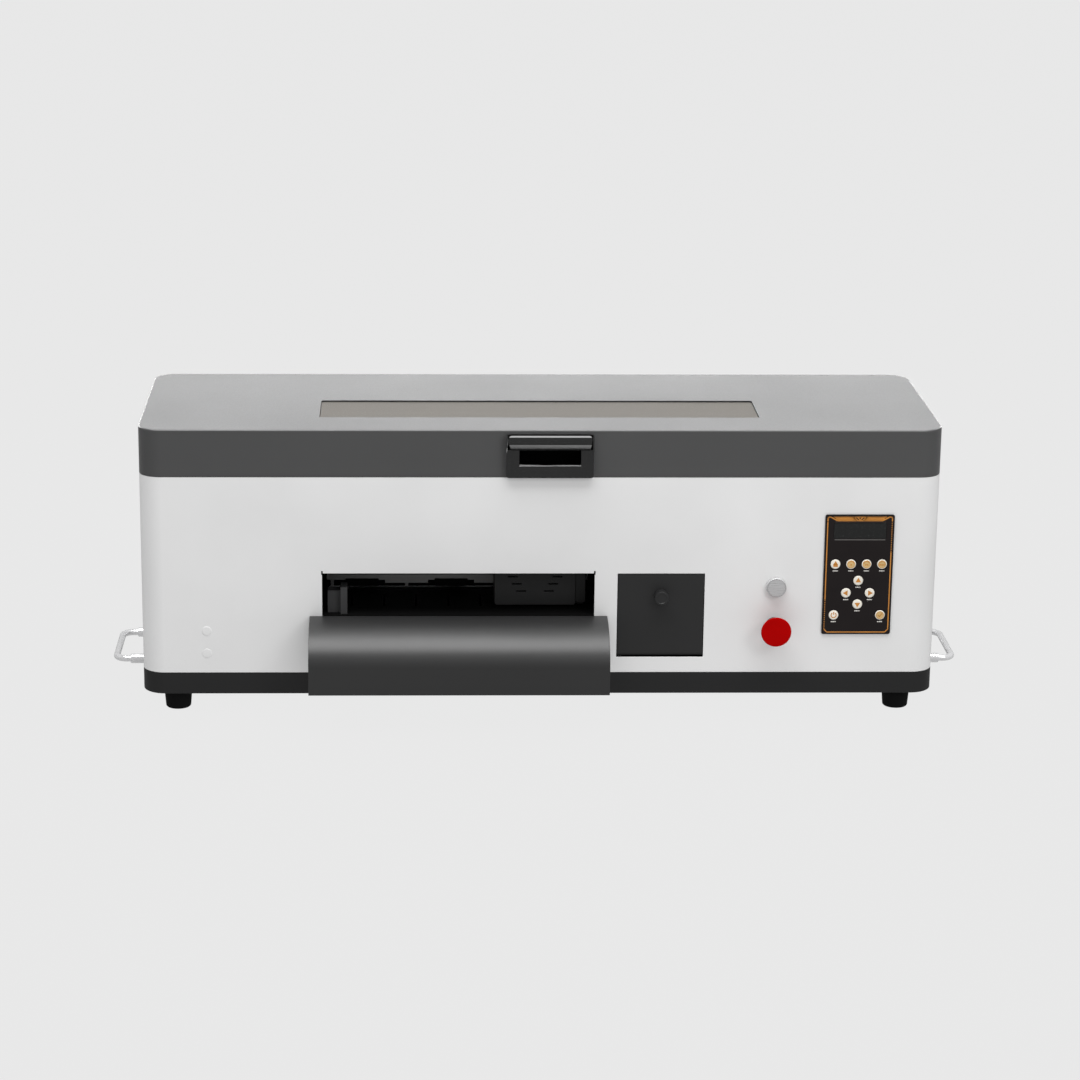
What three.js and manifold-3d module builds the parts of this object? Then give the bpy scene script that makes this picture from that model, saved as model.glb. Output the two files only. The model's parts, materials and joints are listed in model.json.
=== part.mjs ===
// Desktop UV film printer: a long white casing on a dark tray, a lid with a sight window, a film slot with a
// curved guide plate, a service door, a control panel, and the print mechanism inside. Millimetres, +Z up.
// The machine is laid out with its front face on y = 0 and the floor on z = 0, and the group is then moved
// back so that the origin is the centre of its footprint.
import * as THREE from 'three';
import { mergeVertices } from 'three/addons/utils/BufferGeometryUtils.js';
import Module from 'manifold-3d';

const wasm = await Module();
wasm.setup();

// ---- driving dimensions ----
const GAP = 0.3; // clearance between pieces that touch
const WIDTH = 980; // casing, tray and lid
const DEPTH = 310;
const CORNER = 28; // vertical corner radius
const WALL = 3;
const FOOT_HEIGHT = 25;
const TRAY_TOP = 52.3;
const CASING_TOP = 301.3;
const LID_TOP = 360.4;
const LID_EDGE = 3; // rounding of the lid's top edge
const LIP = 14; // inward lip round the casing's top

const SLOT = { left: -267.5, right: 66.8, bottom: 122, top: 179.8 };
const FILM = { left: -264, right: 64 }; // span of the rollers and the platen's window
const DOOR = { left: 95.9, right: 201.4, bottom: 73.3, top: 178.7, thick: 2.5, flange: 9, gap: 0.9 };
const DOOR_PIVOT = { y: 5.5, z: DOOR.bottom + 5.5 };
const PANEL = { left: 347.9, right: 432.9, bottom: 102.2, top: 255.1 };
const SCREEN = { left: 358.6, right: 423.5, bottom: 224.6, top: 244.6 };
const POWER = { x: 290.2, z: 162.8 };
const STOP = { x: 288.8, z: 113.2 };
const LATCH = { left: -43, right: 63, bottom: 302.4, split: 337.6, top: 355.4 };
const WINDOW = { left: -271, right: 271, front: 67, back: 157.5, corner: 4 };
const FILM_INLET = { left: -268, right: 68, bottom: 118, top: 150 };
const GUIDE = { left: -283, right: 83, top: 125.6, bottom: 47, reach: 73.5, drop: 44, thick: 2 };
const HANDLE = { front: 100, back: 211, z: 38.7, reach: 531.5, bend: 14, rod: 4, collar: 6, end: 512.8 };
const FOOT_AT = { x: 448, front: 30, back: 280 };
const HINGE = { x: 330, half: 25, knuckle: 9, y: DEPTH + 5.3, z: CASING_TOP + 0.15, radius: 4.5, pin: 2 };

const PLATEN_TOP = 126;
const FRAME = { left: -334, right: 239, thick: 3, front: 30, back: 285, top: 262 };
const BEAM = { front: 112, back: 162, bottom: 150, top: 256, thick: 4 };
const RAIL = { front: 101, z: 185, half: 7.5 };
const CARRIAGE = { x: -5, half: 50, front: 32, back: 94, bottom: 130, top: 205 };
const PULLEY = { left: -312, right: 212, z: 230, radius: 8, y: 103 };
const BELT = { width: 8.8, thick: 1.5 };
const ROLLER = { y: 125, radius: 11, shaft: 5 };
const PINCH_RADIUS = 7;
const CAP = { x: (DOOR.left + DOOR.right) / 2, y: 63 };
const SHELF = { left: 88, right: 232, front: 16, back: 110, top: 87 };
const FAN = { x: 385, z: 172, half: 40, front: 279, back: 303.9 };
const INLET = { x: 300, z: 98, halfX: 14, halfZ: 10 };

const FLOOR = FOOT_HEIGHT + WALL + GAP; // what stands on the tray's floor
const ROLLER_Z = PLATEN_TOP + GAP - ROLLER.radius;
const PINCH_Z = PLATEN_TOP + 2 * GAP + PINCH_RADIUS;
const MACHINE_BACK = HINGE.y + HINGE.radius;

// ---- solids ----

// A closed geometry as a manifold solid, wound outward.
function toSolid(geometry) {
  const bare = geometry.clone();
  bare.deleteAttribute('normal');
  bare.deleteAttribute('uv');
  const merged = mergeVertices(bare, 1e-3);
  const place = merged.attributes.position;
  const index = Uint32Array.from(merged.index.array);
  const [a, b, c] = [new THREE.Vector3(), new THREE.Vector3(), new THREE.Vector3()];
  let volume = 0;
  for (let i = 0; i < index.length; i += 3) {
    a.fromBufferAttribute(place, index[i]);
    b.fromBufferAttribute(place, index[i + 1]);
    c.fromBufferAttribute(place, index[i + 2]);
    volume += a.dot(b.cross(c));
  }
  if (volume < 0) {
    index.reverse();
  }
  const mesh = new wasm.Mesh({ numProp: 3, vertProperties: Float32Array.from(place.array), triVerts: index });
  return new wasm.Manifold(mesh);
}

function toGeometry(solid) {
  const mesh = solid.getMesh();
  const geometry = new THREE.BufferGeometry();
  geometry.setAttribute('position', new THREE.BufferAttribute(mesh.vertProperties, mesh.numProp));
  geometry.setIndex(new THREE.BufferAttribute(mesh.triVerts, 1));
  geometry.computeVertexNormals();
  return geometry;
}

function union(...solids) {
  return solids.reduce((sum, solid) => sum.add(solid));
}

function cut(body, ...tools) {
  return tools.reduce((rest, tool) => rest.subtract(tool), body);
}

function block(x0, x1, y0, y1, z0, z1) {
  const geometry = new THREE.BoxGeometry(x1 - x0, y1 - y0, z1 - z0);
  geometry.translate((x0 + x1) / 2, (y0 + y1) / 2, (z0 + z1) / 2);
  return toSolid(geometry);
}

// Extrudes a shape between two places along an axis. The shape is drawn in the other two axes, in the order
// X, Y, Z.
function extrude(axis, shape, low, high, options = {}) {
  const geometry = new THREE.ExtrudeGeometry(shape, {
    depth: high - low,
    bevelEnabled: false,
    curveSegments: 3,
    ...options,
  });
  if (axis === 'x') {
    const turn = new THREE.Matrix4().set(0, 0, 1, low, 1, 0, 0, 0, 0, 1, 0, 0, 0, 0, 0, 1);
    geometry.applyMatrix4(turn);
  } else if (axis === 'y') {
    const turn = new THREE.Matrix4().set(1, 0, 0, 0, 0, 0, -1, high, 0, 1, 0, 0, 0, 0, 0, 1);
    geometry.applyMatrix4(turn);
  } else {
    geometry.translate(0, 0, low);
  }
  return toSolid(geometry);
}

const COARSE = { curveSegments: 2 }; // for small corners

function circle(x, y, radius) {
  return new THREE.Shape().absarc(x, y, radius, 0, 2 * Math.PI);
}

function polygon(points) {
  return new THREE.Shape(points.map(([x, y]) => new THREE.Vector2(x, y)));
}

function roundedRectangle(x0, x1, y0, y1, radius) {
  const shape = new THREE.Shape();
  shape.absarc(x1 - radius, y0 + radius, radius, -Math.PI / 2, 0);
  shape.absarc(x1 - radius, y1 - radius, radius, 0, Math.PI / 2);
  shape.absarc(x0 + radius, y1 - radius, radius, Math.PI / 2, Math.PI);
  shape.absarc(x0 + radius, y0 + radius, radius, Math.PI, 1.5 * Math.PI);
  return shape;
}

// The machine's outline seen from above, moved in by an inset.
function outline(inset) {
  const [x, front, back] = [WIDTH / 2 - inset, inset, DEPTH - inset];
  return roundedRectangle(-x, x, front, back, CORNER - inset);
}

function rod(axis, u, v, low, high, radius, curveSegments = 12) {
  return extrude(axis, circle(u, v, radius), low, high, { curveSegments });
}

// Turns a profile of [radius, place along the axis] pairs round an axis through (u, v).
function turned(axis, u, v, profile, segments = 32) {
  const points = profile.map(([radius, along]) => new THREE.Vector2(radius, along));
  const geometry = new THREE.LatheGeometry(points, segments);
  if (axis === 'x') {
    geometry.rotateZ(-Math.PI / 2);
    geometry.translate(0, u, v);
  } else if (axis === 'y') {
    geometry.translate(u, 0, v);
  } else {
    geometry.rotateX(Math.PI / 2);
    geometry.translate(u, v, 0);
  }
  return toSolid(geometry);
}

const machine = new THREE.Group();

function add(name, solid, colour, roughness, metalness = 0) {
  const material = new THREE.MeshStandardMaterial({ color: colour, roughness, metalness });
  const mesh = new THREE.Mesh(toGeometry(solid), material);
  mesh.name = name;
  machine.add(mesh);
}

const WHITE = '#d8d8d8';
const DARK_PAINT = '#343434';
const BLACK = '#141414';
const STEEL = '#9a9da0';
const CHROME = '#d0d2d4';
const ALUMINIUM = '#b4b6b8';

// ---- tray and feet ----

function baseTray() {
  const shell = extrude('z', outline(0), FOOT_HEIGHT, TRAY_TOP);
  const inside = extrude('z', outline(WALL), FOOT_HEIGHT + WALL, TRAY_TOP + 1);
  const vents = [];
  for (let x = 290; x <= 430; x += 20) {
    vents.push(block(x - 3, x + 3, 190, 260, FOOT_HEIGHT - 1, FLOOR));
  }
  return cut(shell, inside, ...vents);
}

function foot(x, y) {
  const top = FOOT_HEIGHT - GAP;
  return turned('z', x, y, [[0, 0], [14, 0], [15.5, 1.5], [17.25, top - 1], [17.25, top], [0, top]], 20);
}

add('base_tray', baseTray(), DARK_PAINT, 0.55, 0.3);
for (const [side, x] of [['left', -FOOT_AT.x], ['right', FOOT_AT.x]]) {
  add(`foot_front_${side}`, foot(x, FOOT_AT.front), '#101010', 0.8);
  add(`foot_rear_${side}`, foot(x, FOOT_AT.back), '#101010', 0.8);
}

// ---- casing and rear panel ----

// The lug beside the door opening that holds one of the door's pins.
function doorLug(x0, x1) {
  const { y, z } = DOOR_PIVOT;
  return cut(block(x0, x1, WALL - 0.5, y + 5.5, z - 5.5, z + 5.5), rod('x', y, z, x0 - 1, x1 + 1, 2.3));
}

function mainCasing() {
  const low = TRAY_TOP + GAP;
  const shell = extrude('z', outline(0), low, CASING_TOP);
  const inside = extrude('z', outline(WALL), low - 1, CASING_TOP - WALL);
  const mouth = extrude('z', outline(WALL + LIP), low - 1, CASING_TOP + 1);
  const { gap } = DOOR;
  const openings = [
    block(SLOT.left, SLOT.right, -1, WALL + 1, SLOT.bottom, SLOT.top),
    block(DOOR.left - gap, DOOR.right + gap, -1, WALL + 1, DOOR.bottom - gap, DOOR.top + gap),
    block(PANEL.left + 6, PANEL.right - 6, -1, WALL + 1, PANEL.bottom + 6.8, PANEL.top - 6),
    rod('y', POWER.x, POWER.z, -1, WALL + 1, 8.3),
    rod('y', STOP.x, STOP.z, -1, WALL + 1, 10.8),
    block(-430, 430, DEPTH - WALL - 1, DEPTH + 1, 75, 285),
  ];
  const lugs = [
    doorLug(DOOR.left - gap - 4.5, DOOR.left - gap),
    doorLug(DOOR.right + gap, DOOR.right + gap + 4.5),
  ];
  return union(cut(shell, inside, mouth, ...openings), ...lugs);
}

function rearPanel() {
  const back = DEPTH - WALL - GAP;
  const { x, z, halfX, halfZ } = INLET;
  const plate = extrude('y', roundedRectangle(-440, 440, 65, 294, 6), back - 2.5, back);
  const tools = [
    block(FILM_INLET.left, FILM_INLET.right, back - 4, back + 1, FILM_INLET.bottom, FILM_INLET.top),
    block(x - halfX, x + halfX, back - 4, back + 1, z - halfZ, z + halfZ),
  ];
  for (let rise = -32; rise <= 32; rise += 8) {
    const half = Math.sqrt((FAN.half - 2) ** 2 - rise ** 2);
    const low = FAN.z + rise - 2.3;
    tools.push(block(FAN.x - half, FAN.x + half, back - 4, back + 1, low, low + 4.6));
  }
  return cut(plate, ...tools);
}

add('main_casing', mainCasing(), WHITE, 0.45);
add('rear_panel', rearPanel(), '#c9c9c9', 0.5, 0.2);

// ---- lid with its window, hinges and latch ----

// The window's recess seen from above, moved in by an inset.
function windowOutline(inset) {
  const { left, right, front, back, corner } = WINDOW;
  return roundedRectangle(left + inset, right - inset, front + inset, back - inset, corner - inset);
}

function lidShell() {
  const low = CASING_TOP + GAP;
  const bevel = { bevelEnabled: true, bevelThickness: LID_EDGE, bevelSize: LID_EDGE, bevelSegments: 2 };
  const body = extrude('z', outline(LID_EDGE), low - 20, LID_TOP - LID_EDGE, bevel);
  const below = block(-WIDTH, WIDTH, -DEPTH, 2 * DEPTH, low - 40, low);
  const inside = extrude('z', outline(WALL), low - 1, LID_TOP - WALL);
  const { left, right, front, back } = WINDOW;
  const frame = block(left - 6, right + 6, front - 6, back + 6, LID_TOP - 8, LID_TOP - WALL + 0.5);
  const seat = extrude('z', windowOutline(0), LID_TOP - 4.5, LID_TOP + 1, COARSE);
  const sight = extrude('z', windowOutline(3), LID_TOP - 9, LID_TOP + 1, COARSE);
  const pocket = block(LATCH.left + 10, LATCH.right - 10, -1, WALL + 1, LATCH.bottom + 9, LATCH.split + 6);
  const shell = cut(body, below, inside);
  return cut(union(shell, frame), seat, sight, pocket);
}

function lidWindow() {
  return extrude('z', windowOutline(GAP), LID_TOP - 4.5 + GAP, LID_TOP - 1.9, COARSE);
}

// The hinge half on the casing: a leaf, two outer knuckles and the pin.
function hingeBase(x) {
  const { half, knuckle, y, z, radius, pin } = HINGE;
  const leaf = block(x - half, x + half, DEPTH + GAP, DEPTH + 2.3, z - 34, z);
  const clear = block(x - knuckle, x + knuckle, DEPTH, y + radius, z - radius - 0.6, z + 5);
  const outer = rod('x', y, z, x - half, x + half, radius, 8);
  return union(cut(union(leaf, outer), clear), rod('x', y, z, x - half, x + half, pin, 6));
}

// The hinge half on the lid: a leaf and the middle knuckle.
function hingeLeaf(x) {
  const { half, knuckle, y, z, radius, pin } = HINGE;
  const inner = knuckle - GAP;
  const leaf = block(x - half, x + half, DEPTH + GAP, DEPTH + 2.3, z + radius + 0.6, z + 38);
  const neck = block(x - inner, x + inner, DEPTH + GAP, DEPTH + 2.3, z + 0.6, z + radius + 1);
  const middle = rod('x', y, z, x - inner, x + inner, radius, 8);
  return cut(union(leaf, neck, middle), rod('x', y, z, x - half, x + half, pin + 0.25, 6));
}

const PIVOT = { y: -6, z: LATCH.top - 6 }; // of the latch lever

// A plate with a finger pocket under the lever, and a cheek with a pin at each of the lever's ends.
function latchHousing() {
  const { left, right, bottom, split, top } = LATCH;
  const plate = extrude('y', roundedRectangle(left, right, bottom, top, 4), -2.3, -GAP);
  const lower = extrude('y', roundedRectangle(left, right, bottom, split, 3), -7, -GAP);
  const pocket = block(left + 12, right - 12, -1, 20, bottom + 11, split + 4);
  const hollow = block(left + 15.5, right - 15.5, -8, 17.5, bottom + 14.4, split + 1.5);
  const cheeks = [left, right - 1.6].map((x) => block(x, x + 1.6, -11, -1, split - 2, top));
  const pins = [left + 1, right - 4.5].map((x) => rod('x', PIVOT.y, PIVOT.z, x, x + 3.5, 1.5, 8));
  return union(cut(union(plate, lower, pocket), hollow), ...cheeks, ...pins);
}

// A bar with a lip along its lower edge, which swings out about the pins in its ends.
function latchLever() {
  const { left, right, split, top } = LATCH;
  const low = split + 0.7;
  const [back, face, front] = [-2.9, -9.9, -14.1];
  const bar = new THREE.Shape();
  bar.moveTo(back, low + 1);
  bar.lineTo(back, top - 6.2);
  bar.lineTo(back - 1.7, top - 1);
  bar.lineTo(PIVOT.y, top);
  bar.absarc(face + 3, top - 3, 3, Math.PI / 2, Math.PI);
  bar.lineTo(face, top - 9.8);
  bar.lineTo(face - 1.2, top - 11.4);
  bar.lineTo(front + 0.6, top - 13.6);
  bar.lineTo(front, top - 15);
  bar.lineTo(front + 0.4, low + 1);
  bar.lineTo(front + 1.6, low);
  const [x0, x1] = [left + 2, right - 2];
  const body = extrude('x', bar, x0, x1, { curveSegments: 3 });
  const bores = [x0 - 1, x1 - 3.2].map((x) => rod('x', PIVOT.y, PIVOT.z, x, x + 4.2, 1.85, 8));
  return cut(body, ...bores);
}

add('lid_shell', lidShell(), '#4a4a4a', 0.35, 0.2);
add('lid_window', lidWindow(), '#5a5148', 0.1);
for (const [side, x] of [['left', -HINGE.x], ['right', HINGE.x]]) {
  add(`hinge_base_${side}`, hingeBase(x), STEEL, 0.4, 0.8);
  add(`hinge_leaf_${side}`, hingeLeaf(x), STEEL, 0.4, 0.8);
}
add('latch_housing', latchHousing(), '#1c1c1c', 0.25);
add('latch_lever', latchLever(), '#1a1a1a', 0.15);

// ---- film guide plate, service door and handles ----

// A bent sheet: a flange on the casing, a bend that starts level at the slot, and a straight skirt.
function filmGuidePlate() {
  const { left, right, top, bottom, reach, drop, thick } = GUIDE;
  const steps = 12;
  const outer = [];
  const inner = [];
  for (let i = 0; i <= steps; i++) {
    const angle = (i / steps) * (Math.PI / 2);
    for (const [side, inset] of [[outer, 0], [inner, thick]]) {
      const out = (reach - GAP - inset) * Math.sin(angle);
      const up = (drop - inset) * Math.cos(angle);
      side.push([-GAP - out, top - drop + up]);
    }
  }
  outer.push([-reach, bottom]);
  inner.push([thick - reach, bottom]);
  const sheet = extrude('x', polygon([...outer, ...inner.reverse()]), left, right);
  const flange = block(left, right, -thick - GAP, -GAP, top - 28, top - 0.8);
  return union(sheet, flange);
}

function serviceDoor() {
  const { left, right, top, thick, flange } = DOOR;
  const { y, z } = DOOR_PIVOT;
  const plate = block(left, right, 0, thick, z, top);
  const root = rod('x', y, z, left, right, y);
  const sides = [left, right - 2].map((x) => block(x, x + 2, 0, flange, z, top - 3));
  const ledge = block(left, right, 0, flange, top - 5, top - 3);
  const pins = rod('x', y, z, left - 3.5, right + 3.5, 2, 8);
  return union(plate, root, ...sides, ledge, pins);
}

function doorKnob() {
  const grip = [[0, -13.5], [7.6, -13.5], [8.6, -12.5], [8.6, -4.5], [6.5, -3.2]];
  const base = [[6.5, -1.8], [8, -1.4], [8, -GAP], [0, -GAP]];
  return turned('y', CAP.x, DOOR.top - 27, [...grip, ...base], 20);
}

// A bow of round rod in the XY plane: two legs, two bends and a grip, as one curve.
class Bow extends THREE.Curve {
  constructor(side) {
    super();
    const { front, back, z, reach, bend } = HANDLE;
    const start = WIDTH / 2 + GAP;
    this.path = new THREE.CurvePath();
    const at = (x, y) => new THREE.Vector3(side * x, y, z);
    const turn = (a, corner, b) => new THREE.QuadraticBezierCurve3(at(...a), at(...corner), at(...b));
    this.path.add(new THREE.LineCurve3(at(start, front), at(reach - bend, front)));
    this.path.add(turn([reach - bend, front], [reach, front], [reach, front + bend]));
    this.path.add(new THREE.LineCurve3(at(reach, front + bend), at(reach, back - bend)));
    this.path.add(turn([reach, back - bend], [reach, back], [reach - bend, back]));
    this.path.add(new THREE.LineCurve3(at(reach - bend, back), at(start, back)));
  }

  getPoint(t, target = new THREE.Vector3()) {
    return target.copy(this.path.getPoint(t));
  }
}

function handle(side) {
  const section = circle(0, 0, HANDLE.rod);
  const options = { steps: 20, extrudePath: new Bow(side), bevelEnabled: false, curveSegments: 5 };
  const bow = toSolid(new THREE.ExtrudeGeometry(section, options));
  const [a, b] = [side * (WIDTH / 2 + GAP), side * HANDLE.end];
  const collars = [HANDLE.front, HANDLE.back].map((y) => {
    return rod('x', y, HANDLE.z, Math.min(a, b), Math.max(a, b), HANDLE.collar, 7);
  });
  return union(bow, ...collars);
}

add('film_guide_plate', filmGuidePlate(), '#3a3a3a', 0.35, 0.6);
add('service_door', serviceDoor(), DARK_PAINT, 0.5, 0.3);
add('door_knob', doorKnob(), BLACK, 0.4);
add('handle_left', handle(-1), CHROME, 0.12, 1);
add('handle_right', handle(1), CHROME, 0.12, 1);

// ---- power button and emergency stop ----

function powerBezel() {
  const profile = [[4.3, -3], [11.2, -3], [11.2, -6.2], [11.7, -6.7], [12.4, -6], [12.4, -GAP]];
  const body = [[7.9, -GAP], [7.9, 22], [4.3, 22], [4.3, -3]];
  return turned('y', POWER.x, POWER.z, [...profile, ...body], 24);
}

function powerButton() {
  const profile = [[0, -6.8], [10.4, -6.8], [10.9, -6.3], [10.9, -4.8], [4, -4.8], [4, 12], [0, 12]];
  return turned('y', POWER.x, POWER.z, profile, 24);
}

function stopCollar() {
  const front = [[5.4, 20], [5.4, -10], [10, -10], [11, -9], [11, -2], [12.5, -2], [12.5, -GAP]];
  const back = [[10.4, -GAP], [10.4, 40], [0, 40], [0, 20], [5.4, 20]];
  return turned('y', STOP.x, STOP.z, [...front, ...back], 24);
}

function stopStem() {
  return turned('y', STOP.x, STOP.z, [[0, -22], [5, -22], [5, 12], [0, 12]], 24);
}

function stopHead() {
  const bore = [[0, -22.4], [5.3, -22.4], [5.3, -16]];
  const rim = [[13.8, -16], [17.8, -26.4], [18.6, -28.2]];
  const crown = [[18.4, -29.1], [17.6, -29.6], [0, -29.7]];
  return turned('y', STOP.x, STOP.z, [...bore, ...rim, ...crown], 24);
}

add('power_bezel', powerBezel(), '#a8a8a8', 0.3, 0.9);
add('power_button', powerButton(), '#b0b0b0', 0.35, 0.9);
add('stop_collar', stopCollar(), BLACK, 0.5);
add('stop_stem', stopStem(), '#808080', 0.4, 0.6);
add('stop_head', stopHead(), '#a00202', 0.4);

// ---- control panel: plate, screen and ten keys ----

const KEY_RADIUS = 6;
const KEYS = {
  key_menu: [362.2, 192.2],
  key_one: [381.4, 192.2],
  key_two: [400.5, 192.2],
  key_three: [419.5, 192.2],
  key_up: [391, 171.2],
  key_left: [376.4, 155.4],
  key_right: [405.7, 155.4],
  key_down: [391, 140.9],
  key_standby: [362.2, 127],
  key_confirm: [419.5, 127],
};

function controlPanel() {
  const { left, right, bottom, top } = PANEL;
  const plate = extrude('y', roundedRectangle(left, right, bottom, top, 2.5), -1.9, -GAP);
  const back = block(left + 7, right - 7, -0.8, 10, bottom + 8, top - 7);
  const screen = block(SCREEN.left, SCREEN.right, -3, -0.9, SCREEN.bottom, SCREEN.top);
  const holes = Object.values(KEYS).map(([x, z]) => rod('y', x, z, -3, 3.2, KEY_RADIUS + GAP, 8));
  return cut(union(plate, back), screen, ...holes);
}

function screenWindow() {
  const { left, right, bottom, top } = SCREEN;
  return block(left + GAP, right - GAP, -1.8, -0.9 - GAP, bottom + GAP, top - GAP);
}

function key([x, z]) {
  const r = KEY_RADIUS;
  return turned('y', x, z, [[0, -2.8], [r - 1.2, -2.7], [r - 0.2, -2.3], [r, -1.9], [r, 1.8], [0, 1.8]], 20);
}

add('control_panel', controlPanel(), '#1c1819', 0.45);
add('screen_window', screenWindow(), '#282828', 0.15);
for (const [name, place] of Object.entries(KEYS)) {
  add(name, key(place), '#ece6d8', 0.4);
}

// ---- mechanism: side frames, beam and rail ----

// An upright plate with a foot flange, a roller bearing hole and a lightening hole.
function sideFrame(inner, outer, flangeEnd) {
  const { front, back, top, thick } = FRAME;
  const [x0, x1] = [Math.min(inner, outer), Math.max(inner, outer)];
  const profile = [[front, FLOOR], [back, FLOOR], [back, 190], [200, top], [70, top], [front, 150]];
  const plate = extrude('x', polygon(profile), x0, x1);
  const [f0, f1] = [Math.min(x0, flangeEnd), Math.max(x1, flangeEnd)];
  const flange = block(f0, f1, front, back, FLOOR, FLOOR + thick);
  const bearing = rod('x', ROLLER.y, ROLLER_Z, x0 - 1, x1 + 1, ROLLER.shaft + 0.3);
  const window = extrude('x', roundedRectangle(170, 265, 60, 140, 12), x0 - 1, x1 + 1, COARSE);
  return cut(union(plate, flange), bearing, window);
}

// An open-backed channel across the machine, with a hole for the motor shaft and a stud for the idler.
function carriageBeam() {
  const { front, back, bottom, top, thick } = BEAM;
  const web = [[front, bottom], [back, bottom], [back, bottom + thick], [front + thick, bottom + thick]];
  const roof = [[front + thick, top - thick], [back, top - thick], [back, top], [front, top]];
  const [x0, x1] = [FRAME.left + FRAME.thick + GAP, FRAME.right - FRAME.thick - GAP];
  const channel = extrude('x', polygon([...web, ...roof]), x0, x1);
  const shaftHole = rod('y', PULLEY.right, PULLEY.z, front - 1, front + thick + 1, 11.5);
  const stud = rod('y', PULLEY.left, PULLEY.z, PULLEY.y - 6.5, front + 1, 2.4, 8);
  return union(cut(channel, shaftHole), stud);
}

function linearRail() {
  const { front, z, half } = RAIL;
  const grooved = [
    [front, z - half],
    [BEAM.front - GAP, z - half],
    [BEAM.front - GAP, z + half],
    [front, z + half],
    [front, z + half - 2],
    [front + 1.5, z],
    [front, z - half + 2],
  ];
  return extrude('x', polygon(grooved), -325, 228);
}

add('side_frame_left', sideFrame(FRAME.left + FRAME.thick, FRAME.left, FRAME.left + 22), STEEL, 0.5, 0.7);
add('side_frame_right', sideFrame(FRAME.right - FRAME.thick, FRAME.right, FRAME.right + 20), STEEL, 0.5, 0.7);
add('carriage_beam', carriageBeam(), '#2c2c2c', 0.5, 0.5);
add('linear_rail', linearRail(), ALUMINIUM, 0.25, 1);

// ---- print carriage, head and lamp ----

// A hood over the print head, a runner round the rail and a clamp on the belt's lower run.
function printCarriage() {
  const { x, half, front, back, bottom, top } = CARRIAGE;
  const hood = extrude('y', roundedRectangle(x - half, x + half, bottom, top, 3), front, back, COARSE);
  const inside = block(x - half + 2.5, x + half - 2.5, front + 2.5, back - 3, bottom - 1, top - 5);
  const slots = [];
  for (const side of [-1, 1]) {
    for (let row = 0; row < 3; row++) {
      const middle = x + side * (17.2 + 5.2 * row);
      const z = 147.6 + 9.4 * row;
      slots.push(block(middle - 6, middle + 6, front - 1, front + 3.5, z - 0.9, z + 0.9));
    }
  }
  const runner = block(x - 30, x + 30, back - 1, BEAM.front - 0.7, RAIL.z - 14, RAIL.z + 14);
  const reach = RAIL.half + 0.4;
  const groove = block(x - 31, x + 31, RAIL.front - 0.4, BEAM.front, RAIL.z - reach, RAIL.z + reach);
  const clamp = block(x - 10, x + 10, back - 1, BEAM.front - 0.7, RAIL.z + 13, PULLEY.z - 4);
  const run = PULLEY.z - PULLEY.radius - GAP;
  const [beltFront, beltBack] = [PULLEY.y - BELT.width / 2 - 0.4, PULLEY.y + BELT.width / 2 + 0.4];
  const slit = block(x - 11, x + 11, beltFront, beltBack, run - BELT.thick - GAP, run + GAP);
  return cut(union(cut(hood, inside, ...slots), runner, clamp), groove, slit);
}

function printHead() {
  const x = CARRIAGE.x;
  const nozzles = block(x - 33, x + 33, 44, 82, PLATEN_TOP + 2, 166);
  const flange = block(x - 46, x + 46, 38, 88, 165, 168);
  const tower = block(x - 20, x + 20, 50, 76, 167, 192);
  return union(nozzles, flange, tower);
}

function uvLamp() {
  const low = CARRIAGE.x + CARRIAGE.half + GAP;
  const body = block(low, low + 12.2, 34, 92, 133, 196);
  const lens = block(low + 2, low + 10.2, 38, 88, 129.5, 134);
  const fins = [];
  for (let y = 42; y <= 84; y += 7) {
    fins.push(block(low + 6, low + 13, y - 1.5, y + 1.5, 150, 197));
  }
  return cut(union(body, lens), ...fins);
}

add('print_carriage', printCarriage(), '#2b2b2b', 0.5);
add('print_head', printHead(), '#6e7072', 0.4, 0.5);
add('uv_lamp', uvLamp(), '#55585a', 0.4, 0.7);

// ---- belt drive ----

// A flanged belt wheel about Y, as a profile from its bore or its centre outward.
function beltWheel(x, bore, tail) {
  const [front, back] = [PULLEY.y - BELT.width / 2 - GAP, PULLEY.y + BELT.width / 2 + GAP];
  const rim = PULLEY.radius + BELT.thick + 1.2;
  const seat = [[rim, front - 1], [rim, front], [PULLEY.radius, front], [PULLEY.radius, back], [rim, back]];
  const profile = [[bore, front - 1], ...seat, [rim, back + 1], ...tail];
  if (bore > 0) {
    profile.push([bore, front - 1]);
  }
  return turned('y', x, PULLEY.z, profile, 16);
}

function timingBelt() {
  const loop = (radius) => {
    const shape = new THREE.Shape();
    shape.absarc(PULLEY.right, PULLEY.z, radius, -Math.PI / 2, Math.PI / 2);
    shape.absarc(PULLEY.left, PULLEY.z, radius, Math.PI / 2, 1.5 * Math.PI);
    return shape;
  };
  const inner = PULLEY.radius + GAP;
  const [front, back] = [PULLEY.y - BELT.width / 2, PULLEY.y + BELT.width / 2];
  const band = extrude('y', loop(inner + BELT.thick), front, back, { curveSegments: 5 });
  return cut(band, extrude('y', loop(inner), front - 1, back + 1, { curveSegments: 5 }));
}

function carriageMotor() {
  const front = BEAM.front + BEAM.thick + GAP;
  const can = roundedRectangle(PULLEY.right - 21, PULLEY.right + 21, PULLEY.z - 21, PULLEY.z + 21, 5);
  const body = extrude('y', can, front, front + 38, COARSE);
  return cut(body, rod('y', PULLEY.right, PULLEY.z, front - 1, front + 16, 2.9));
}

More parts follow.
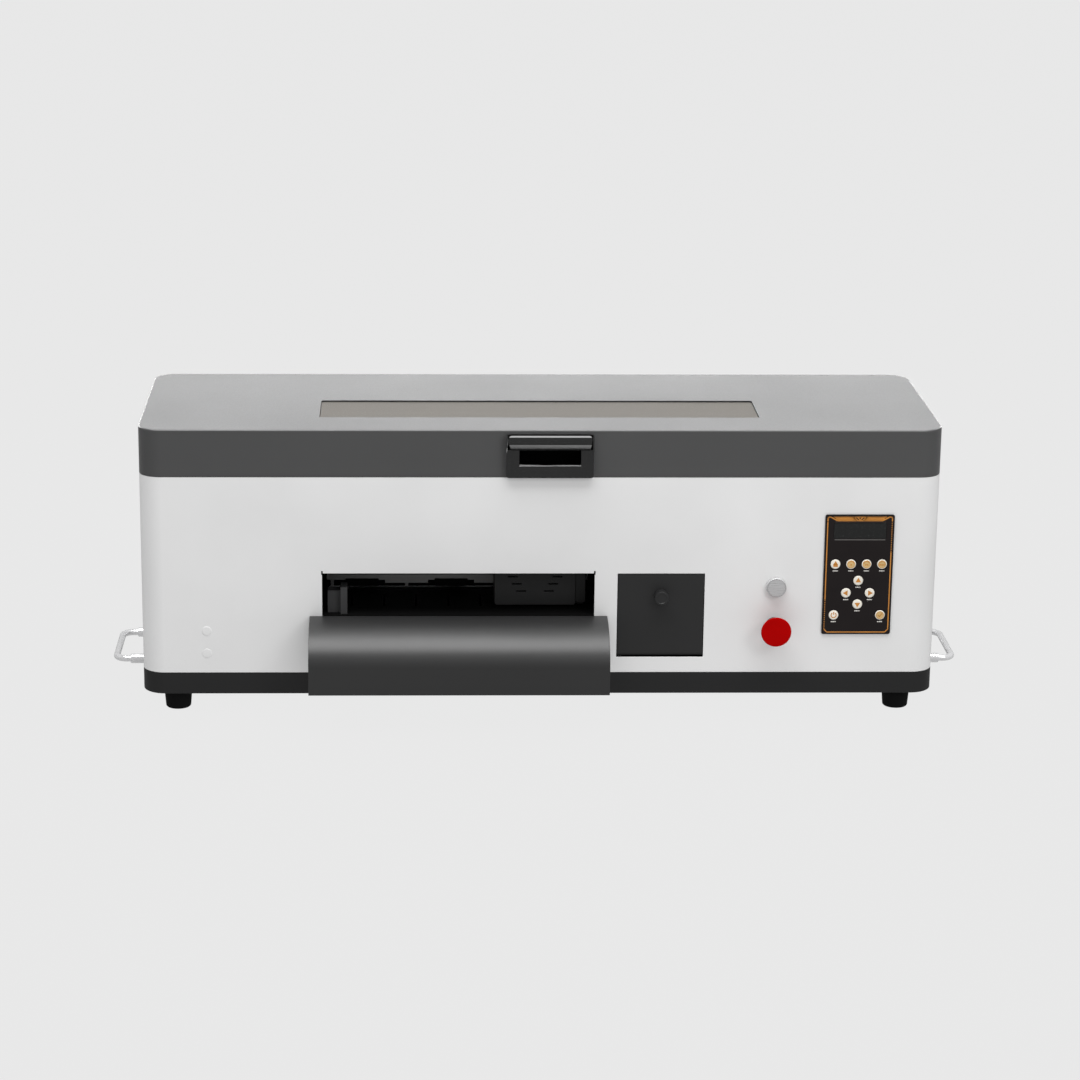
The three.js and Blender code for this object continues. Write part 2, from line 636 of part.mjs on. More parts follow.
const driveBack = PULLEY.y + BELT.width / 2 + GAP + 1;
const motorShaft = [[2.5, driveBack], [2.5, BEAM.front + 18], [0, BEAM.front + 18]];
add('drive_pulley', beltWheel(PULLEY.right, 0, motorShaft), ALUMINIUM, 0.3, 0.9);
add('idler_pulley', beltWheel(PULLEY.left, 2.6, [[2.6, driveBack]]), ALUMINIUM, 0.3, 0.9);
add('timing_belt', timingBelt(), '#181818', 0.8);
add('carriage_motor', carriageMotor(), '#26282a', 0.4, 0.5);

// ---- film feed ----

function feedRoller() {
  const { y, radius, shaft } = ROLLER;
  const [left, right] = [FRAME.left - 8, FRAME.right + 16];
  const [a, b] = [FILM.left + 1, FILM.right - 1];
  const barrel = [[shaft, a], [radius, a + 1], [radius, b - 1], [shaft, b]];
  return turned('x', y, ROLLER_Z, [[0, left], [shaft, left], ...barrel, [shaft, right], [0, right]], 28);
}

function feedMotor() {
  const front = FRAME.right + GAP;
  const can = roundedRectangle(ROLLER.y - 21, ROLLER.y + 21, ROLLER_Z - 21, ROLLER_Z + 21, 5);
  const body = extrude('x', can, front, front + 36, COARSE);
  return cut(body, rod('x', ROLLER.y, ROLLER_Z, front - 1, front + 18, ROLLER.shaft + 0.3));
}

const PINCH_ROLLS = [-240, -128, -16];

// A thin shaft that carries three rubber rolls above the feed roller.
function pinchRoller() {
  const profile = [[0, FILM.left + 4], [2.5, FILM.left + 4]];
  for (const x of PINCH_ROLLS) {
    profile.push([2.5, x], [PINCH_RADIUS, x + 0.5], [PINCH_RADIUS, x + 39.5], [2.5, x + 40]);
  }
  profile.push([2.5, FILM.right - 4], [0, FILM.right - 4]);
  return turned('x', ROLLER.y, PINCH_Z, profile, 12);
}

// A strip under the beam with a hanger at each end and between the rolls, and a lip in front of each gap.
function pinchBeam() {
  const low = PINCH_Z + PINCH_RADIUS + 2.4;
  const strip = block(FILM.left, FILM.right, 98, 150, low, BEAM.bottom - GAP);
  const bore = rod('x', ROLLER.y, PINCH_Z, FILM.left - 1, FILM.right + 1, 2.85, 6);
  const hangers = [-258, -164, -52, 54].map((x) => {
    return block(x - 2, x + 2, 118, 132, PINCH_Z - 5, low + 1);
  });
  const lips = [-164, -52].map((x) => block(x - 27, x + 27, 98, 101, low - 4, low + 1));
  const dips = PINCH_ROLLS.map((x) => block(x - 1, x + 41, 97, 104, low - 1, low + 3));
  return cut(union(strip, ...hangers, ...lips), bore, ...dips);
}

// A folded table with a window for the feed roller and an edge guide, and a lower shelf under the capping
// station.
function platen() {
  const [x0, x1, y0, y1] = [-290, 90, WALL + 0.6, 288];
  const { left, right, front, back } = SHELF;
  const [under, over] = [PLATEN_TOP - 4, PLATEN_TOP + 1];
  const top = block(x0, x1, y0, y1, PLATEN_TOP - 3, PLATEN_TOP);
  const legs = [front, y1 - 3].map((y) => block(x0, x1, y, y + 3, FLOOR, PLATEN_TOP - 1));
  const window = block(FILM.left, FILM.right, ROLLER.y - 11.6, ROLLER.y + 11.6, under, over);
  const guides = [
    block(-245, -237, 7, 29, PLATEN_TOP - 1, 160),
    block(-261, -244, 14, 29, PLATEN_TOP - 1, 154),
  ];
  const shelf = [
    block(left, right, front, back, SHELF.top - 3, SHELF.top),
    block(left, right, front, front + 3, FLOOR, SHELF.top - 1),
    block(left, right, back - 3, back, FLOOR, SHELF.top - 1),
  ];
  const vacuum = [];
  for (let x = -232; x <= 48; x += 40) {
    vacuum.push(block(x - 1.5, x + 1.5, 40, 92, under, over));
  }
  const posts = [-22, 22].map((x) => rod('z', CAP.x + x, CAP.y, SHELF.top - 4, SHELF.top + 1, 3.4, 8));
  return cut(union(top, ...legs, ...guides, ...shelf), window, ...vacuum, ...posts);
}

// A cup with a sealing lip on two guide posts that slide through the shelf.
function cappingStation() {
  const { x, y } = CAP;
  const cup = block(x - 35, x + 35, y - 25, y + 25, 96, 120);
  const lip = extrude('z', roundedRectangle(x - 31, x + 31, y - 19, y + 19, 5), 119, 123, COARSE);
  const hollow = extrude('z', roundedRectangle(x - 28, x + 28, y - 16, y + 16, 4), 108, 124, COARSE);
  const posts = [-22, 22].map((dx) => rod('z', x + dx, y, SHELF.top - 16, 97, 3, 8));
  return union(cut(union(cup, lip), hollow), ...posts);
}

add('feed_roller', feedRoller(), '#7c7e80', 0.6, 0.6);
add('feed_motor', feedMotor(), '#26282a', 0.4, 0.5);
add('pinch_roller', pinchRoller(), '#303030', 0.7);
add('pinch_beam', pinchBeam(), '#4a4c4e', 0.5, 0.5);
add('platen', platen(), '#3c3e40', 0.45, 0.6);
add('capping_station', cappingStation(), '#3a3a3c', 0.6);

// ---- ink, electronics and cooling ----

// Six ink tanks moulded as one block, with a filler cap on each.
function inkTank() {
  const [x0, x1, y0, y1] = [-468, -350, 60, 258];
  const tanks = extrude('z', roundedRectangle(x0, x1, y0, y1, 8), FLOOR, 188, COARSE);
  const pitch = (y1 - y0) / 6;
  const cap = [[0, 187], [11, 187], [11, 200], [9, 202], [0, 202]];
  const caps = [];
  for (let y = y0 + pitch / 2; y < y1; y += pitch) {
    caps.push(turned('z', (x0 + x1) / 2, y, cap, 12));
  }
  const seams = [];
  for (let y = y0 + pitch; y < y1 - 1; y += pitch) {
    seams.push(block(x0 - 1, x1 + 1, y - 1, y + 1, 180, 190));
  }
  return cut(union(tanks, ...caps), ...seams);
}

function controlBoard() {
  const [x0, x1, y0, y1, z] = [282, 472, 60, 163, 100];
  const posts = [[x0 + 6, y0 + 6], [x1 - 6, y0 + 6], [x0 + 6, y1 - 6], [x1 - 6, y1 - 6]];
  const chips = [
    block(312, 342, 90, 120, z, z + 5),
    block(350, 390, 80, 92, z, z + 11),
    block(350, 390, 105, 117, z, z + 11),
    block(410, 440, 90, 130, z, z + 16),
    rod('z', 298, 100, z, z + 18, 6, 5),
    rod('z', 298, 125, z, z + 18, 6, 5),
  ];
  const legs = posts.map(([x, y]) => rod('z', x, y, FLOOR, z + 1, 3.5, 4));
  return union(block(x0, x1, y0, y1, z, z + 1.6), ...chips, ...legs);
}

function powerSupply() {
  const box = block(266, 466, 175, 285, FLOOR, 76);
  const slots = [];
  for (let x = 284; x <= 452; x += 21) {
    slots.push(block(x - 2.5, x + 2.5, 190, 270, 73, 77));
  }
  return cut(box, ...slots);
}

function fanFrame() {
  const { x, z, half, front, back } = FAN;
  const ring = extrude('y', roundedRectangle(x - half, x + half, z - half, z + half, 5), front, back);
  const duct = rod('y', x, z, front - 1, back + 1, half - 1.8, 16);
  const hub = rod('y', x, z, back - 5, back, 15, 8);
  const reach = half - 1;
  const arms = [
    block(x - reach, x + reach, back - 3, back, z - 2, z + 2),
    block(x - 2, x + 2, back - 3, back, z - reach, z + reach),
  ];
  return union(cut(ring, duct), hub, ...arms);
}

// Seven pitched blades round a hub.
function fanRotor() {
  const { x, z, front, back } = FAN;
  const hub = rod('y', 0, 0, front + 2, back - 5.6, 15, 8);
  const blades = [];
  for (let i = 0; i < 7; i++) {
    const blade = new THREE.BoxGeometry(23, 17, 1.6);
    blade.rotateX(0.62);
    blade.translate(25, (front + back) / 2 - 3, 0);
    blade.rotateY((i / 7) * 2 * Math.PI);
    blades.push(toSolid(blade));
  }
  return union(hub, ...blades).translate([x, 0, z]);
}

// A three-pin mains inlet: a flange outside the rear panel's hole, a recess and three blades.
function powerInlet() {
  const { x, z, halfX, halfZ } = INLET;
  const face = DEPTH - WALL;
  const rim = roundedRectangle(x - 24, x + 24, z - 13, z + 13, 4);
  const flange = extrude('y', rim, face, face + 2.4, COARSE);
  const body = block(x - halfX + GAP, x + halfX - GAP, face - 26, face + 1, z - halfZ + GAP, z + halfZ - GAP);
  const recess = block(x - 12, x + 12, face - 17, face + 4, z - 8, z + 8);
  const pins = [[-7, -2], [7, -2], [0, 2.5]].map(([dx, dz]) => {
    return block(x + dx - 1, x + dx + 1, face - 18, face - 3, z + dz - 2, z + dz + 2);
  });
  return union(cut(union(flange, body), recess), ...pins);
}

add('ink_tank', inkTank(), '#8c8f92', 0.4);
add('control_board', controlBoard(), '#1f4a33', 0.5);
add('power_supply', powerSupply(), ALUMINIUM, 0.45, 0.8);
add('fan_frame', fanFrame(), BLACK, 0.6);
add('fan_rotor', fanRotor(), BLACK, 0.6);
add('power_inlet', powerInlet(), BLACK, 0.5);

machine.position.y = -(MACHINE_BACK - GUIDE.reach) / 2;
export default machine;
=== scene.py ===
"""Looks for the desktop UV film printer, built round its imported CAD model.

Shapes are drawn in the machine's own millimetres, with the front face on y = 0 and the floor on z = 0,
and are moved into the row frame as pieces are made.
"""

import json
import math

import bmesh
import bpy
from mathutils import Matrix, Vector

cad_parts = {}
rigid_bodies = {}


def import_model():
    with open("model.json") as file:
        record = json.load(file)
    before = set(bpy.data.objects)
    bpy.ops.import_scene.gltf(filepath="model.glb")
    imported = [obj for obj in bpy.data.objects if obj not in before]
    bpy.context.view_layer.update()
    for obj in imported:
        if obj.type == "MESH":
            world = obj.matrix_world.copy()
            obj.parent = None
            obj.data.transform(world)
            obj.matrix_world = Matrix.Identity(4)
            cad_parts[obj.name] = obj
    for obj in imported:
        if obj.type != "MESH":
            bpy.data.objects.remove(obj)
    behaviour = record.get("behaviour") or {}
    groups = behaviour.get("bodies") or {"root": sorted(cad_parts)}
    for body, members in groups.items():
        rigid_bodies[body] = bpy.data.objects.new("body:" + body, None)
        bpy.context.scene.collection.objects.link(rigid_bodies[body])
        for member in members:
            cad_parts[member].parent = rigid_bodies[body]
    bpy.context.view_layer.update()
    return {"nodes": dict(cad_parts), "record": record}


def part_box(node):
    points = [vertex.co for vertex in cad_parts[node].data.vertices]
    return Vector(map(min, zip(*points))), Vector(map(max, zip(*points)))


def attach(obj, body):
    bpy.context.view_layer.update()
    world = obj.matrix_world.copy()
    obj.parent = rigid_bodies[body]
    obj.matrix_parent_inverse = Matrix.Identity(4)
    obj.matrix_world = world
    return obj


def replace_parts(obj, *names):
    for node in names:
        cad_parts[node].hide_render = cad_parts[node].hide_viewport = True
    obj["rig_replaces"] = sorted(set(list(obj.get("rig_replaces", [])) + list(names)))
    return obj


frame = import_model()

record = frame["record"]
BODY_OF = {node: body for body, nodes in record["behaviour"]["bodies"].items() for node in nodes}
SLOT_OF = {part["node"]: part["material_slot"] for part in record["subparts"]}

MM = 0.001
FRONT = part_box("main_casing")[0].y
TO_ROW = Matrix.Translation((0, FRONT, 0)) @ Matrix.Scale(MM, 4)
TO_MACHINE = TO_ROW.inverted()


def sides(node):
    """The box of a CAD node in machine millimetres: x0, x1, y0, y1, z0, z1."""
    low, high = (TO_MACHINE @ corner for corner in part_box(node))
    return low.x, high.x, low.y, high.y, low.z, high.z


def middle(node):
    x0, x1, y0, y1, z0, z1 = sides(node)
    return (x0 + x1) / 2, (y0 + y1) / 2, (z0 + z1) / 2


# ---- outlines ----


def arc(x, y, radius, start, end, steps):
    angles = [math.radians(start + (end - start) * i / steps) for i in range(steps + 1)]
    return [(x + radius * math.cos(a), y + radius * math.sin(a)) for a in angles]


def circle(x, y, radius, steps=40):
    return arc(x, y, radius, 0, 360, steps)[:-1]


def rectangle(x0, x1, y0, y1):
    return [(x0, y0), (x1, y0), (x1, y1), (x0, y1)]


def rounded(x0, x1, y0, y1, radius, steps=8):
    """A rectangle with round corners."""
    return (
        arc(x1 - radius, y0 + radius, radius, -90, 0, steps)
        + arc(x1 - radius, y1 - radius, radius, 0, 90, steps)
        + arc(x0 + radius, y1 - radius, radius, 90, 180, steps)
        + arc(x0 + radius, y0 + radius, radius, 180, 270, steps)
    )


# ---- solids ----

ORDER = {"x": lambda u, v, w: (w, u, v), "y": lambda u, v, w: (u, w, v), "z": lambda u, v, w: (u, v, w)}


def closed(bm):
    bmesh.ops.recalc_face_normals(bm, faces=bm.faces)
    return bm


def prism(axis, outline, low, high):
    """An outline in the other two axes, swept from low to high."""
    bm = bmesh.new()
    bottom, top = ([bm.verts.new(ORDER[axis](u, v, w)) for u, v in outline] for w in (low, high))
    bm.faces.new(bottom)
    bm.faces.new(top)
    for i in range(len(outline)):
        j = (i + 1) % len(outline)
        bm.faces.new((bottom[i], bottom[j], top[j], top[i]))
    return closed(bm)


def block(x0, x1, y0, y1, z0, z1):
    return prism("z", rectangle(x0, x1, y0, y1), z0, z1)


def lathe(axis, u, v, profile, steps=64):
    """A profile of (radius, place along the axis) turned round an axis.

    A profile that doesn't start and end on the axis gives a ring.
    """
    bm = bmesh.new()
    rings = []
    for radius, along in profile:
        if radius == 0:
            rings.append([bm.verts.new(ORDER[axis](u, v, along))])
        else:
            rings.append([bm.verts.new(ORDER[axis](*place, along)) for place in circle(u, v, radius, steps)])
    pairs = list(zip(rings, rings[1:]))
    if profile[0][0] > 0:
        pairs.append((rings[-1], rings[0]))
    for a, b in pairs:
        for i in range(steps):
            j = (i + 1) % steps
            corners = [a[i % len(a)], a[j % len(a)], b[j % len(b)], b[i % len(b)]]
            face = list(dict.fromkeys(corners))
            if len(face) > 2:
                bm.faces.new(face)
    return closed(bm)


def tube(points, radius, steps=20):
    """A round rod along a smooth run of points."""
    bm = bmesh.new()
    points = [Vector(p) for p in points]
    rings = []
    across = None
    for i, point in enumerate(points):
        along = (points[min(i + 1, len(points) - 1)] - points[max(i - 1, 0)]).normalized()
        if across is None:
            across = along.orthogonal().normalized()
        across = (across - along * across.dot(along)).normalized()
        up = along.cross(across)
        rings.append([bm.verts.new(point + across * x + up * y) for x, y in circle(0, 0, radius, steps)])
    for a, b in zip(rings, rings[1:]):
        for i in range(steps):
            j = (i + 1) % steps
            bm.faces.new((a[i], a[j], b[j], b[i]))
    bm.faces.new(rings[0])
    bm.faces.new(rings[-1])
    return closed(bm)


def together(*parts):
    """Separate solids as one mesh."""
    whole = bmesh.new()
    for part in parts:
        mesh = bpy.data.meshes.new("part")
        part.to_mesh(mesh)
        part.free()
        whole.from_mesh(mesh)
        bpy.data.meshes.remove(mesh)
    return whole


def helper(bm):
    """A scene object for one solid of a boolean."""
    mesh = bpy.data.meshes.new("helper")
    bm.to_mesh(mesh)
    bm.free()
    obj = bpy.data.objects.new("helper", mesh)
    bpy.context.scene.collection.objects.link(obj)
    return obj


def combine(operation, body, tools):
    """A boolean of solids, as one clean solid."""
    objects = [helper(body)] + [helper(tool) for tool in tools]
    for tool in objects[1:]:
        modifier = objects[0].modifiers.new("combine", "BOOLEAN")
        modifier.operation = operation
        modifier.solver = "EXACT"
        modifier.object = tool
    bpy.context.view_layer.update()
    bm = bmesh.new()
    bm.from_object(objects[0], bpy.context.evaluated_depsgraph_get())
    for obj in objects:
        bpy.data.meshes.remove(obj.data)
    return merged(bm)


def cut(body, *tools):
    return combine("DIFFERENCE", body, tools)


def union(body, *others):
    return combine("UNION", body, others)


def merged(bm):
    """Joins doubled points and makes each flat side one face."""
    bmesh.ops.remove_doubles(bm, verts=bm.verts, dist=0.004)
    bmesh.ops.dissolve_limit(bm, angle_limit=math.radians(1), verts=bm.verts, edges=bm.edges)
    return bm


def soften(bm, width, segments=2, angle=38, where=None):
    """Rounds the sharp edges of a solid, or those of them that a test picks."""
    edges = [
        edge
        for edge in bm.edges
        if len(edge.link_faces) == 2
        and edge.calc_face_angle(0) > math.radians(angle)
        and (where is None or where((edge.verts[0].co + edge.verts[1].co) / 2))
    ]
    bmesh.ops.bevel(
        bm, geom=edges, offset=width, segments=segments, profile=0.5, affect="EDGES", clamp_overlap=True
    )
    return bm


# ---- materials ----


class Look:
    """A material whose nodes are made by short calls."""

    def __init__(self, name, **constants):
        self.material = bpy.data.materials.new(name)
        self.material.use_nodes = True
        self.nodes = self.material.node_tree.nodes
        self.links = self.material.node_tree.links
        self.surface = self.nodes["Principled BSDF"]
        self.place = self.nodes.new("ShaderNodeTexCoord").outputs["Object"]
        for socket, value in constants.items():
            self.surface.inputs[socket.replace("_", " ")].default_value = value

    def add(self, kind, inputs, **settings):
        """A node with each of its sockets linked or set."""
        node = self.nodes.new(kind)
        for key, value in settings.items():
            setattr(node, key, value)
        for socket, value in inputs.items():
            if isinstance(value, bpy.types.NodeSocket):
                self.links.new(value, node.inputs[socket])
            else:
                node.inputs[socket].default_value = value
        return node

    def noise(self, scale, detail=2.0, stretch=(1, 1, 1)):
        place = self.add("ShaderNodeMapping", {"Vector": self.place, "Scale": stretch}).outputs[0]
        return self.add("ShaderNodeTexNoise", {"Vector": place, "Scale": scale, "Detail": detail}).outputs[0]

    def span(self, value, low, high, start=0.3, end=0.7):
        """A value from start to end becomes one from low to high."""
        sockets = {"Value": value, "From Min": start, "From Max": end, "To Min": low, "To Max": high}
        return self.add("ShaderNodeMapRange", sockets).outputs[0]

    def math(self, operation, a, b):
        return self.add("ShaderNodeMath", {0: a, 1: b}, operation=operation).outputs[0]

    def mix(self, factor, a, b):
        """One colour fading to another. The node's colour sockets are 6 and 7, and 2 going out."""
        a, b = ((*colour, 1) if isinstance(colour, tuple) else colour for colour in (a, b))
        return self.add("ShaderNodeMix", {0: factor, 6: a, 7: b}, data_type="RGBA").outputs[2]

    def edges(self, radius):
        """1 along sharp edges and 0 on flat faces."""
        soft = self.add("ShaderNodeBevel", {"Radius": radius * MM}, samples=4).outputs[0]
        hard = self.add("ShaderNodeNewGeometry", {}).outputs["Normal"]
        same = self.add("ShaderNodeVectorMath", {0: soft, 1: hard}, operation="DOT_PRODUCT").outputs["Value"]
        return self.span(same, 1, 0, 0.82, 0.99)

    def relief(self, *layers):
        """Bumps, as (height, depth in millimetres) pairs."""
        normal = None
        for height, depth in layers:
            sockets = {"Height": height, "Distance": depth * MM, "Strength": 1.0}
            if normal:
                sockets["Normal"] = normal
            normal = self.add("ShaderNodeBump", sockets).outputs[0]
        self.links.new(normal, self.surface.inputs["Normal"])

    def finish(self, colour, roughness):
        self.links.new(colour, self.surface.inputs["Base Color"])
        self.links.new(roughness, self.surface.inputs["Roughness"])
        return self.material


def scaled(colour, share):
    return tuple(min(1.0, c * share) for c in colour)


def painted(name, colour, roughness, grain=0.02, wear=1.5, specular=0.5):
    """Powder coat: a fine orange peel, faint clouds, and edges where it is thinner and more polished."""
    look = Look(name, Specular_IOR_Level=specular)
    clouds = look.noise(7, 3)
    peel = look.noise(900, 2)
    speckle = look.noise(2600, 1)
    edge = look.math("MULTIPLY", look.edges(0.9), look.span(look.noise(160, 3), 0.2, 1.0))
    base = look.mix(look.span(clouds, 0, 1), scaled(colour, 0.97), scaled(colour, 1.03))
    base = look.mix(look.span(speckle, 0, 0.35, 0.5, 0.8), base, scaled(colour, 0.9))
    base = look.mix(edge, base, scaled(colour, wear))
    clouded = look.span(clouds, -0.012, 0.012)
    peeled = look.span(peel, roughness - 0.03, roughness + 0.05)
    worn = look.math("MULTIPLY", edge, 0.1)
    rough = look.math("SUBTRACT", look.math("ADD", clouded, peeled), worn)
    look.relief((peel, grain), (speckle, grain * 0.4))
    return look.finish(base, rough)


def moulded(name, colour, roughness, grain=0.012, wear=1.8, specular=0.5):
    """Moulded plastic: spark-eroded grain, faint flow clouds and rubbed edges."""
    look = Look(name, Specular_IOR_Level=specular)
    clouds = look.noise(22, 4, (1, 1, 3))
    pits = look.noise(1900, 3)
    edge = look.math("MULTIPLY", look.edges(0.6), look.span(look.noise(240, 3), 0.1, 0.9))
    base = look.mix(look.span(clouds, 0, 1), scaled(colour, 0.93), scaled(colour, 1.07))
    base = look.mix(edge, base, scaled(colour, wear))
    pitted = look.span(pits, -0.05, 0.05)
    clouded = look.span(clouds, roughness - 0.03, roughness + 0.03)
    rough = look.math("ADD", pitted, clouded)
    look.relief((pits, grain))
    return look.finish(base, rough)


DUST = (0.3, 0.3, 0.3)


def polished(name, colour, roughness, metallic=0.0, specular=0.5):
    """A glossy surface with finger smears, hairline marks and specks of dust."""
    look = Look(name, Metallic=metallic, Specular_IOR_Level=specular)
    smears = look.noise(34, 5)
    hairs = look.noise(260, 2, (1, 9, 14))
    dust = look.noise(1500, 1)
    base = look.mix(look.span(smears, 0, 1), scaled(colour, 0.96), scaled(colour, 1.04))
    base = look.mix(look.span(dust, 0, 0.3, 0.68, 0.8), base, DUST)
    smeared = look.span(smears, roughness, roughness * 1.9)
    scratched = look.span(hairs, 0, 0.03, 0.6, 0.8)
    rough = look.math("ADD", smeared, scratched)
    look.relief((hairs, 0.002))
    return look.finish(base, rough)


def brushed(name, colour, roughness, stretch=(1, 40, 40), anisotropy=0.5, metallic=1.0):
    """Metal with fine lines along one axis and a cloudy plating."""
    look = Look(name, Metallic=metallic, Anisotropic=anisotropy)
    lines = look.noise(60, 3, stretch)
    clouds = look.noise(18, 3)
    edge = look.math("MULTIPLY", look.edges(0.5), look.span(look.noise(220, 3), 0.2, 0.9))
    base = look.mix(look.span(lines, 0, 1), scaled(colour, 0.86), scaled(colour, 1.1))
    base = look.mix(look.span(clouds, 0, 0.35), base, scaled(colour, 0.8))
    base = look.mix(edge, base, scaled(colour, 1.3))
    rough = look.math("ADD", look.span(lines, -0.07, 0.07), look.span(clouds, roughness, roughness + 0.06))
    look.relief((lines, 0.006))
    return look.finish(base, rough)


def rubber(name, colour):
    """Rubber with a fine grit and a pale bloom in places."""
    look = Look(name, Specular_IOR_Level=0.12)
    clouds = look.noise(30, 4)
    grit = look.noise(1300, 3)
    bloom = look.span(clouds, 0, 0.5, 0.5, 0.8)
    base = look.mix(bloom, colour, scaled(colour, 1.7))
    look.relief((grit, 0.03))
    return look.finish(base, look.span(grit, 0.68, 0.88))


def tinted_acrylic(name, colour):
    """Clear sheet with a strong smoke tint, smears and a little dust."""
    look = Look(name, Transmission_Weight=0.15, IOR=1.015, Specular_IOR_Level=0.5)
    smears = look.noise(14, 5)
    dust = look.noise(1200, 1)
    base = look.mix(look.span(smears, 0, 1), scaled(colour, 0.95), scaled(colour, 1.05))
    base = look.mix(look.span(dust, 0, 0.5, 0.66, 0.8), base, (0.4, 0.38, 0.36))
    look.relief((smears, 0.004))
    return look.finish(base, look.span(smears, 0.38, 0.46))


def tank_plastic(name, colour):
    """Milky blow-moulded plastic, with the ink's level showing as a darker lower part."""
    look = Look(name, Subsurface_Weight=0.15, Subsurface_Scale=0.004)
    clouds = look.noise(25, 4)
    height = look.add("ShaderNodeSeparateXYZ", {"Vector": look.place}).outputs["Z"]
    wavy = look.math("ADD", height, look.span(clouds, -0.002, 0.002))
    ink = look.span(wavy, 1, 0, 0.128, 0.131)
    base = look.mix(look.span(clouds, 0, 1), scaled(colour, 0.94), scaled(colour, 1.05))
    base = look.mix(ink, base, (0.05, 0.055, 0.07))
    look.relief((clouds, 0.2), (look.noise(1500, 2), 0.01))
    return look.finish(base, look.span(clouds, 0.3, 0.42))


def solder_mask(name, colour):
    """A circuit board: copper runs under green lacquer."""
    look = Look(name)
    place = look.add("ShaderNodeMapping", {"Vector": look.place, "Scale": (240, 240, 1)}).outputs[0]
    bricks = {"Vector": place, "Scale": 1.0, "Mortar Size": 0.09}
    cells = look.add("ShaderNodeTexBrick", bricks).outputs["Fac"]
    clouds = look.noise(60, 3)
    base = look.mix(look.span(clouds, 0, 1), scaled(colour, 0.8), scaled(colour, 1.2))
    base = look.mix(look.math("MULTIPLY", cells, 0.6), base, (0.16, 0.26, 0.12))
    look.relief((cells, 0.05))
    return look.finish(base, look.span(clouds, 0.25, 0.4))


def printed(name, colour, roughness=0.42):
    """Screen ink: a little uneven, with a fine dot."""
    look = Look(name)
    dots = look.noise(2400, 1)
    clouds = look.noise(90, 3)
    base = look.mix(look.span(clouds, 0, 1), scaled(colour, 0.88), scaled(colour, 1.1))
    base = look.mix(look.span(dots, 0, 0.25), base, scaled(colour, 0.75))
    look.relief((dots, 0.004))
    return look.finish(base, look.span(dots, roughness - 0.05, roughness + 0.08))


LOOKS = {
    "white_paint": painted("white_paint", (0.755, 0.755, 0.755), 0.42, 0.02, 1.06),
    "rear_paint": painted("rear_paint", (0.66, 0.66, 0.66), 0.45, 0.03, 1.1),
    "dark_paint": painted("dark_paint", (0.0175, 0.0175, 0.0178), 0.5, 0.03, 1.8, 0.22),
    "lid_plastic": painted("lid_plastic", (0.046, 0.046, 0.0465), 0.34, 0.012, 1.6),
    "window_acrylic": tinted_acrylic("window_acrylic", (0.082, 0.077, 0.07)),
    "latch_gloss": polished("latch_gloss", (0.003, 0.003, 0.0031), 0.1, specular=0.85),
    "guide_steel": painted("guide_steel", (0.019, 0.019, 0.0192), 0.42, 0.012, 1.6, 0.6),
    "black_plastic": moulded("black_plastic", (0.014, 0.014, 0.0145), 0.42),
    # chrome is only half metallic: its pale diffuse half is a painted reflection of the bright surroundings
    "chrome": polished("chrome", (0.9, 0.9, 0.91), 0.07, metallic=0.5),
    # button_steel is half metallic too: its pale diffuse half is a painted reflection of the bright
    # surroundings
    "button_steel": brushed("button_steel", (0.66, 0.66, 0.665), 0.28, metallic=0.5),
    "stop_red": moulded("stop_red", (0.39, 0.0005, 0.0005), 0.4, 0.006, 1.2, 0.02),
    "panel_film": moulded("panel_film", (0.0115, 0.0085, 0.0087), 0.42, 0.004, 1.3, 0.2),
    "screen_glass": polished("screen_glass", (0.016, 0.0165, 0.0163), 0.14, specular=0.2),
    "key_cream": moulded("key_cream", (0.82, 0.78, 0.69), 0.38, 0.005, 1.05),
    "rubber_black": rubber("rubber_black", (0.004, 0.004, 0.004)),
    "zinc_steel": brushed("zinc_steel", (0.42, 0.43, 0.44), 0.34, (1, 6, 6), 0.2),
    "beam_black": moulded("beam_black", (0.012, 0.012, 0.012), 0.42, 0.008, 2.2, 0.3),
    "rail_steel": brushed("rail_steel", (0.6, 0.6, 0.61), 0.2),
    "bare_aluminium": brushed("bare_aluminium", (0.56, 0.57, 0.58), 0.36, (1, 30, 30), 0.3),
    "carriage_plastic": moulded("carriage_plastic", (0.018, 0.018, 0.0183), 0.48, specular=0.3),
    "head_steel": brushed("head_steel", (0.3, 0.31, 0.32), 0.36, (30, 30, 1), 0.2),
    "tank_plastic": tank_plastic("tank_plastic", (0.52, 0.54, 0.55)),
    "board_green": solder_mask("board_green", (0.012, 0.06, 0.03)),
}

# looks of single pieces, and of parts of a piece
# near-black inner faces for the casing and lid: painted shade in place of the dim light inside the machine
INSIDE_PAINTED_SHADE = painted("inside_painted_shade", (0.012, 0.012, 0.0125), 0.6, 0.03, 1.2, 0.2)
DOOR_PAINT = painted("door_paint", (0.0235, 0.0235, 0.0238), 0.5, 0.03, 1.8, 0.22)
STRIP_GREY = painted("strip_grey", (0.3, 0.3, 0.3), 0.5, 0.02, 1.5, 0.3)
# the platen's black is deepened almost to none, with little gloss: partly its own colour, partly painted
# shade for the dark film slot
PLATEN_BLACK_AND_SHADE = moulded("platen_black_and_shade", (0.004, 0.004, 0.004), 0.75, 0.01, 2.0, 0.04)
EDGE_GUIDE = moulded("edge_guide", (0.045, 0.045, 0.046), 0.5, 0.01, 2.0, 0.3)
# near-black faces in the latch recess and behind the housing: painted shade
HOLLOW_PAINTED_SHADE = moulded("hollow_painted_shade", (0.0015, 0.0015, 0.0015), 0.7, 0.01, 1.5, 0.02)
LATCH_LIP = polished("latch_lip", (0.003, 0.003, 0.0031), 0.12, specular=0.3)
# a pale grey for the sloping sill edge of the latch recess: a painted highlight
LATCH_PAINTED_HIGHLIGHT = polished("latch_painted_highlight", (0.4, 0.4, 0.4), 0.2)

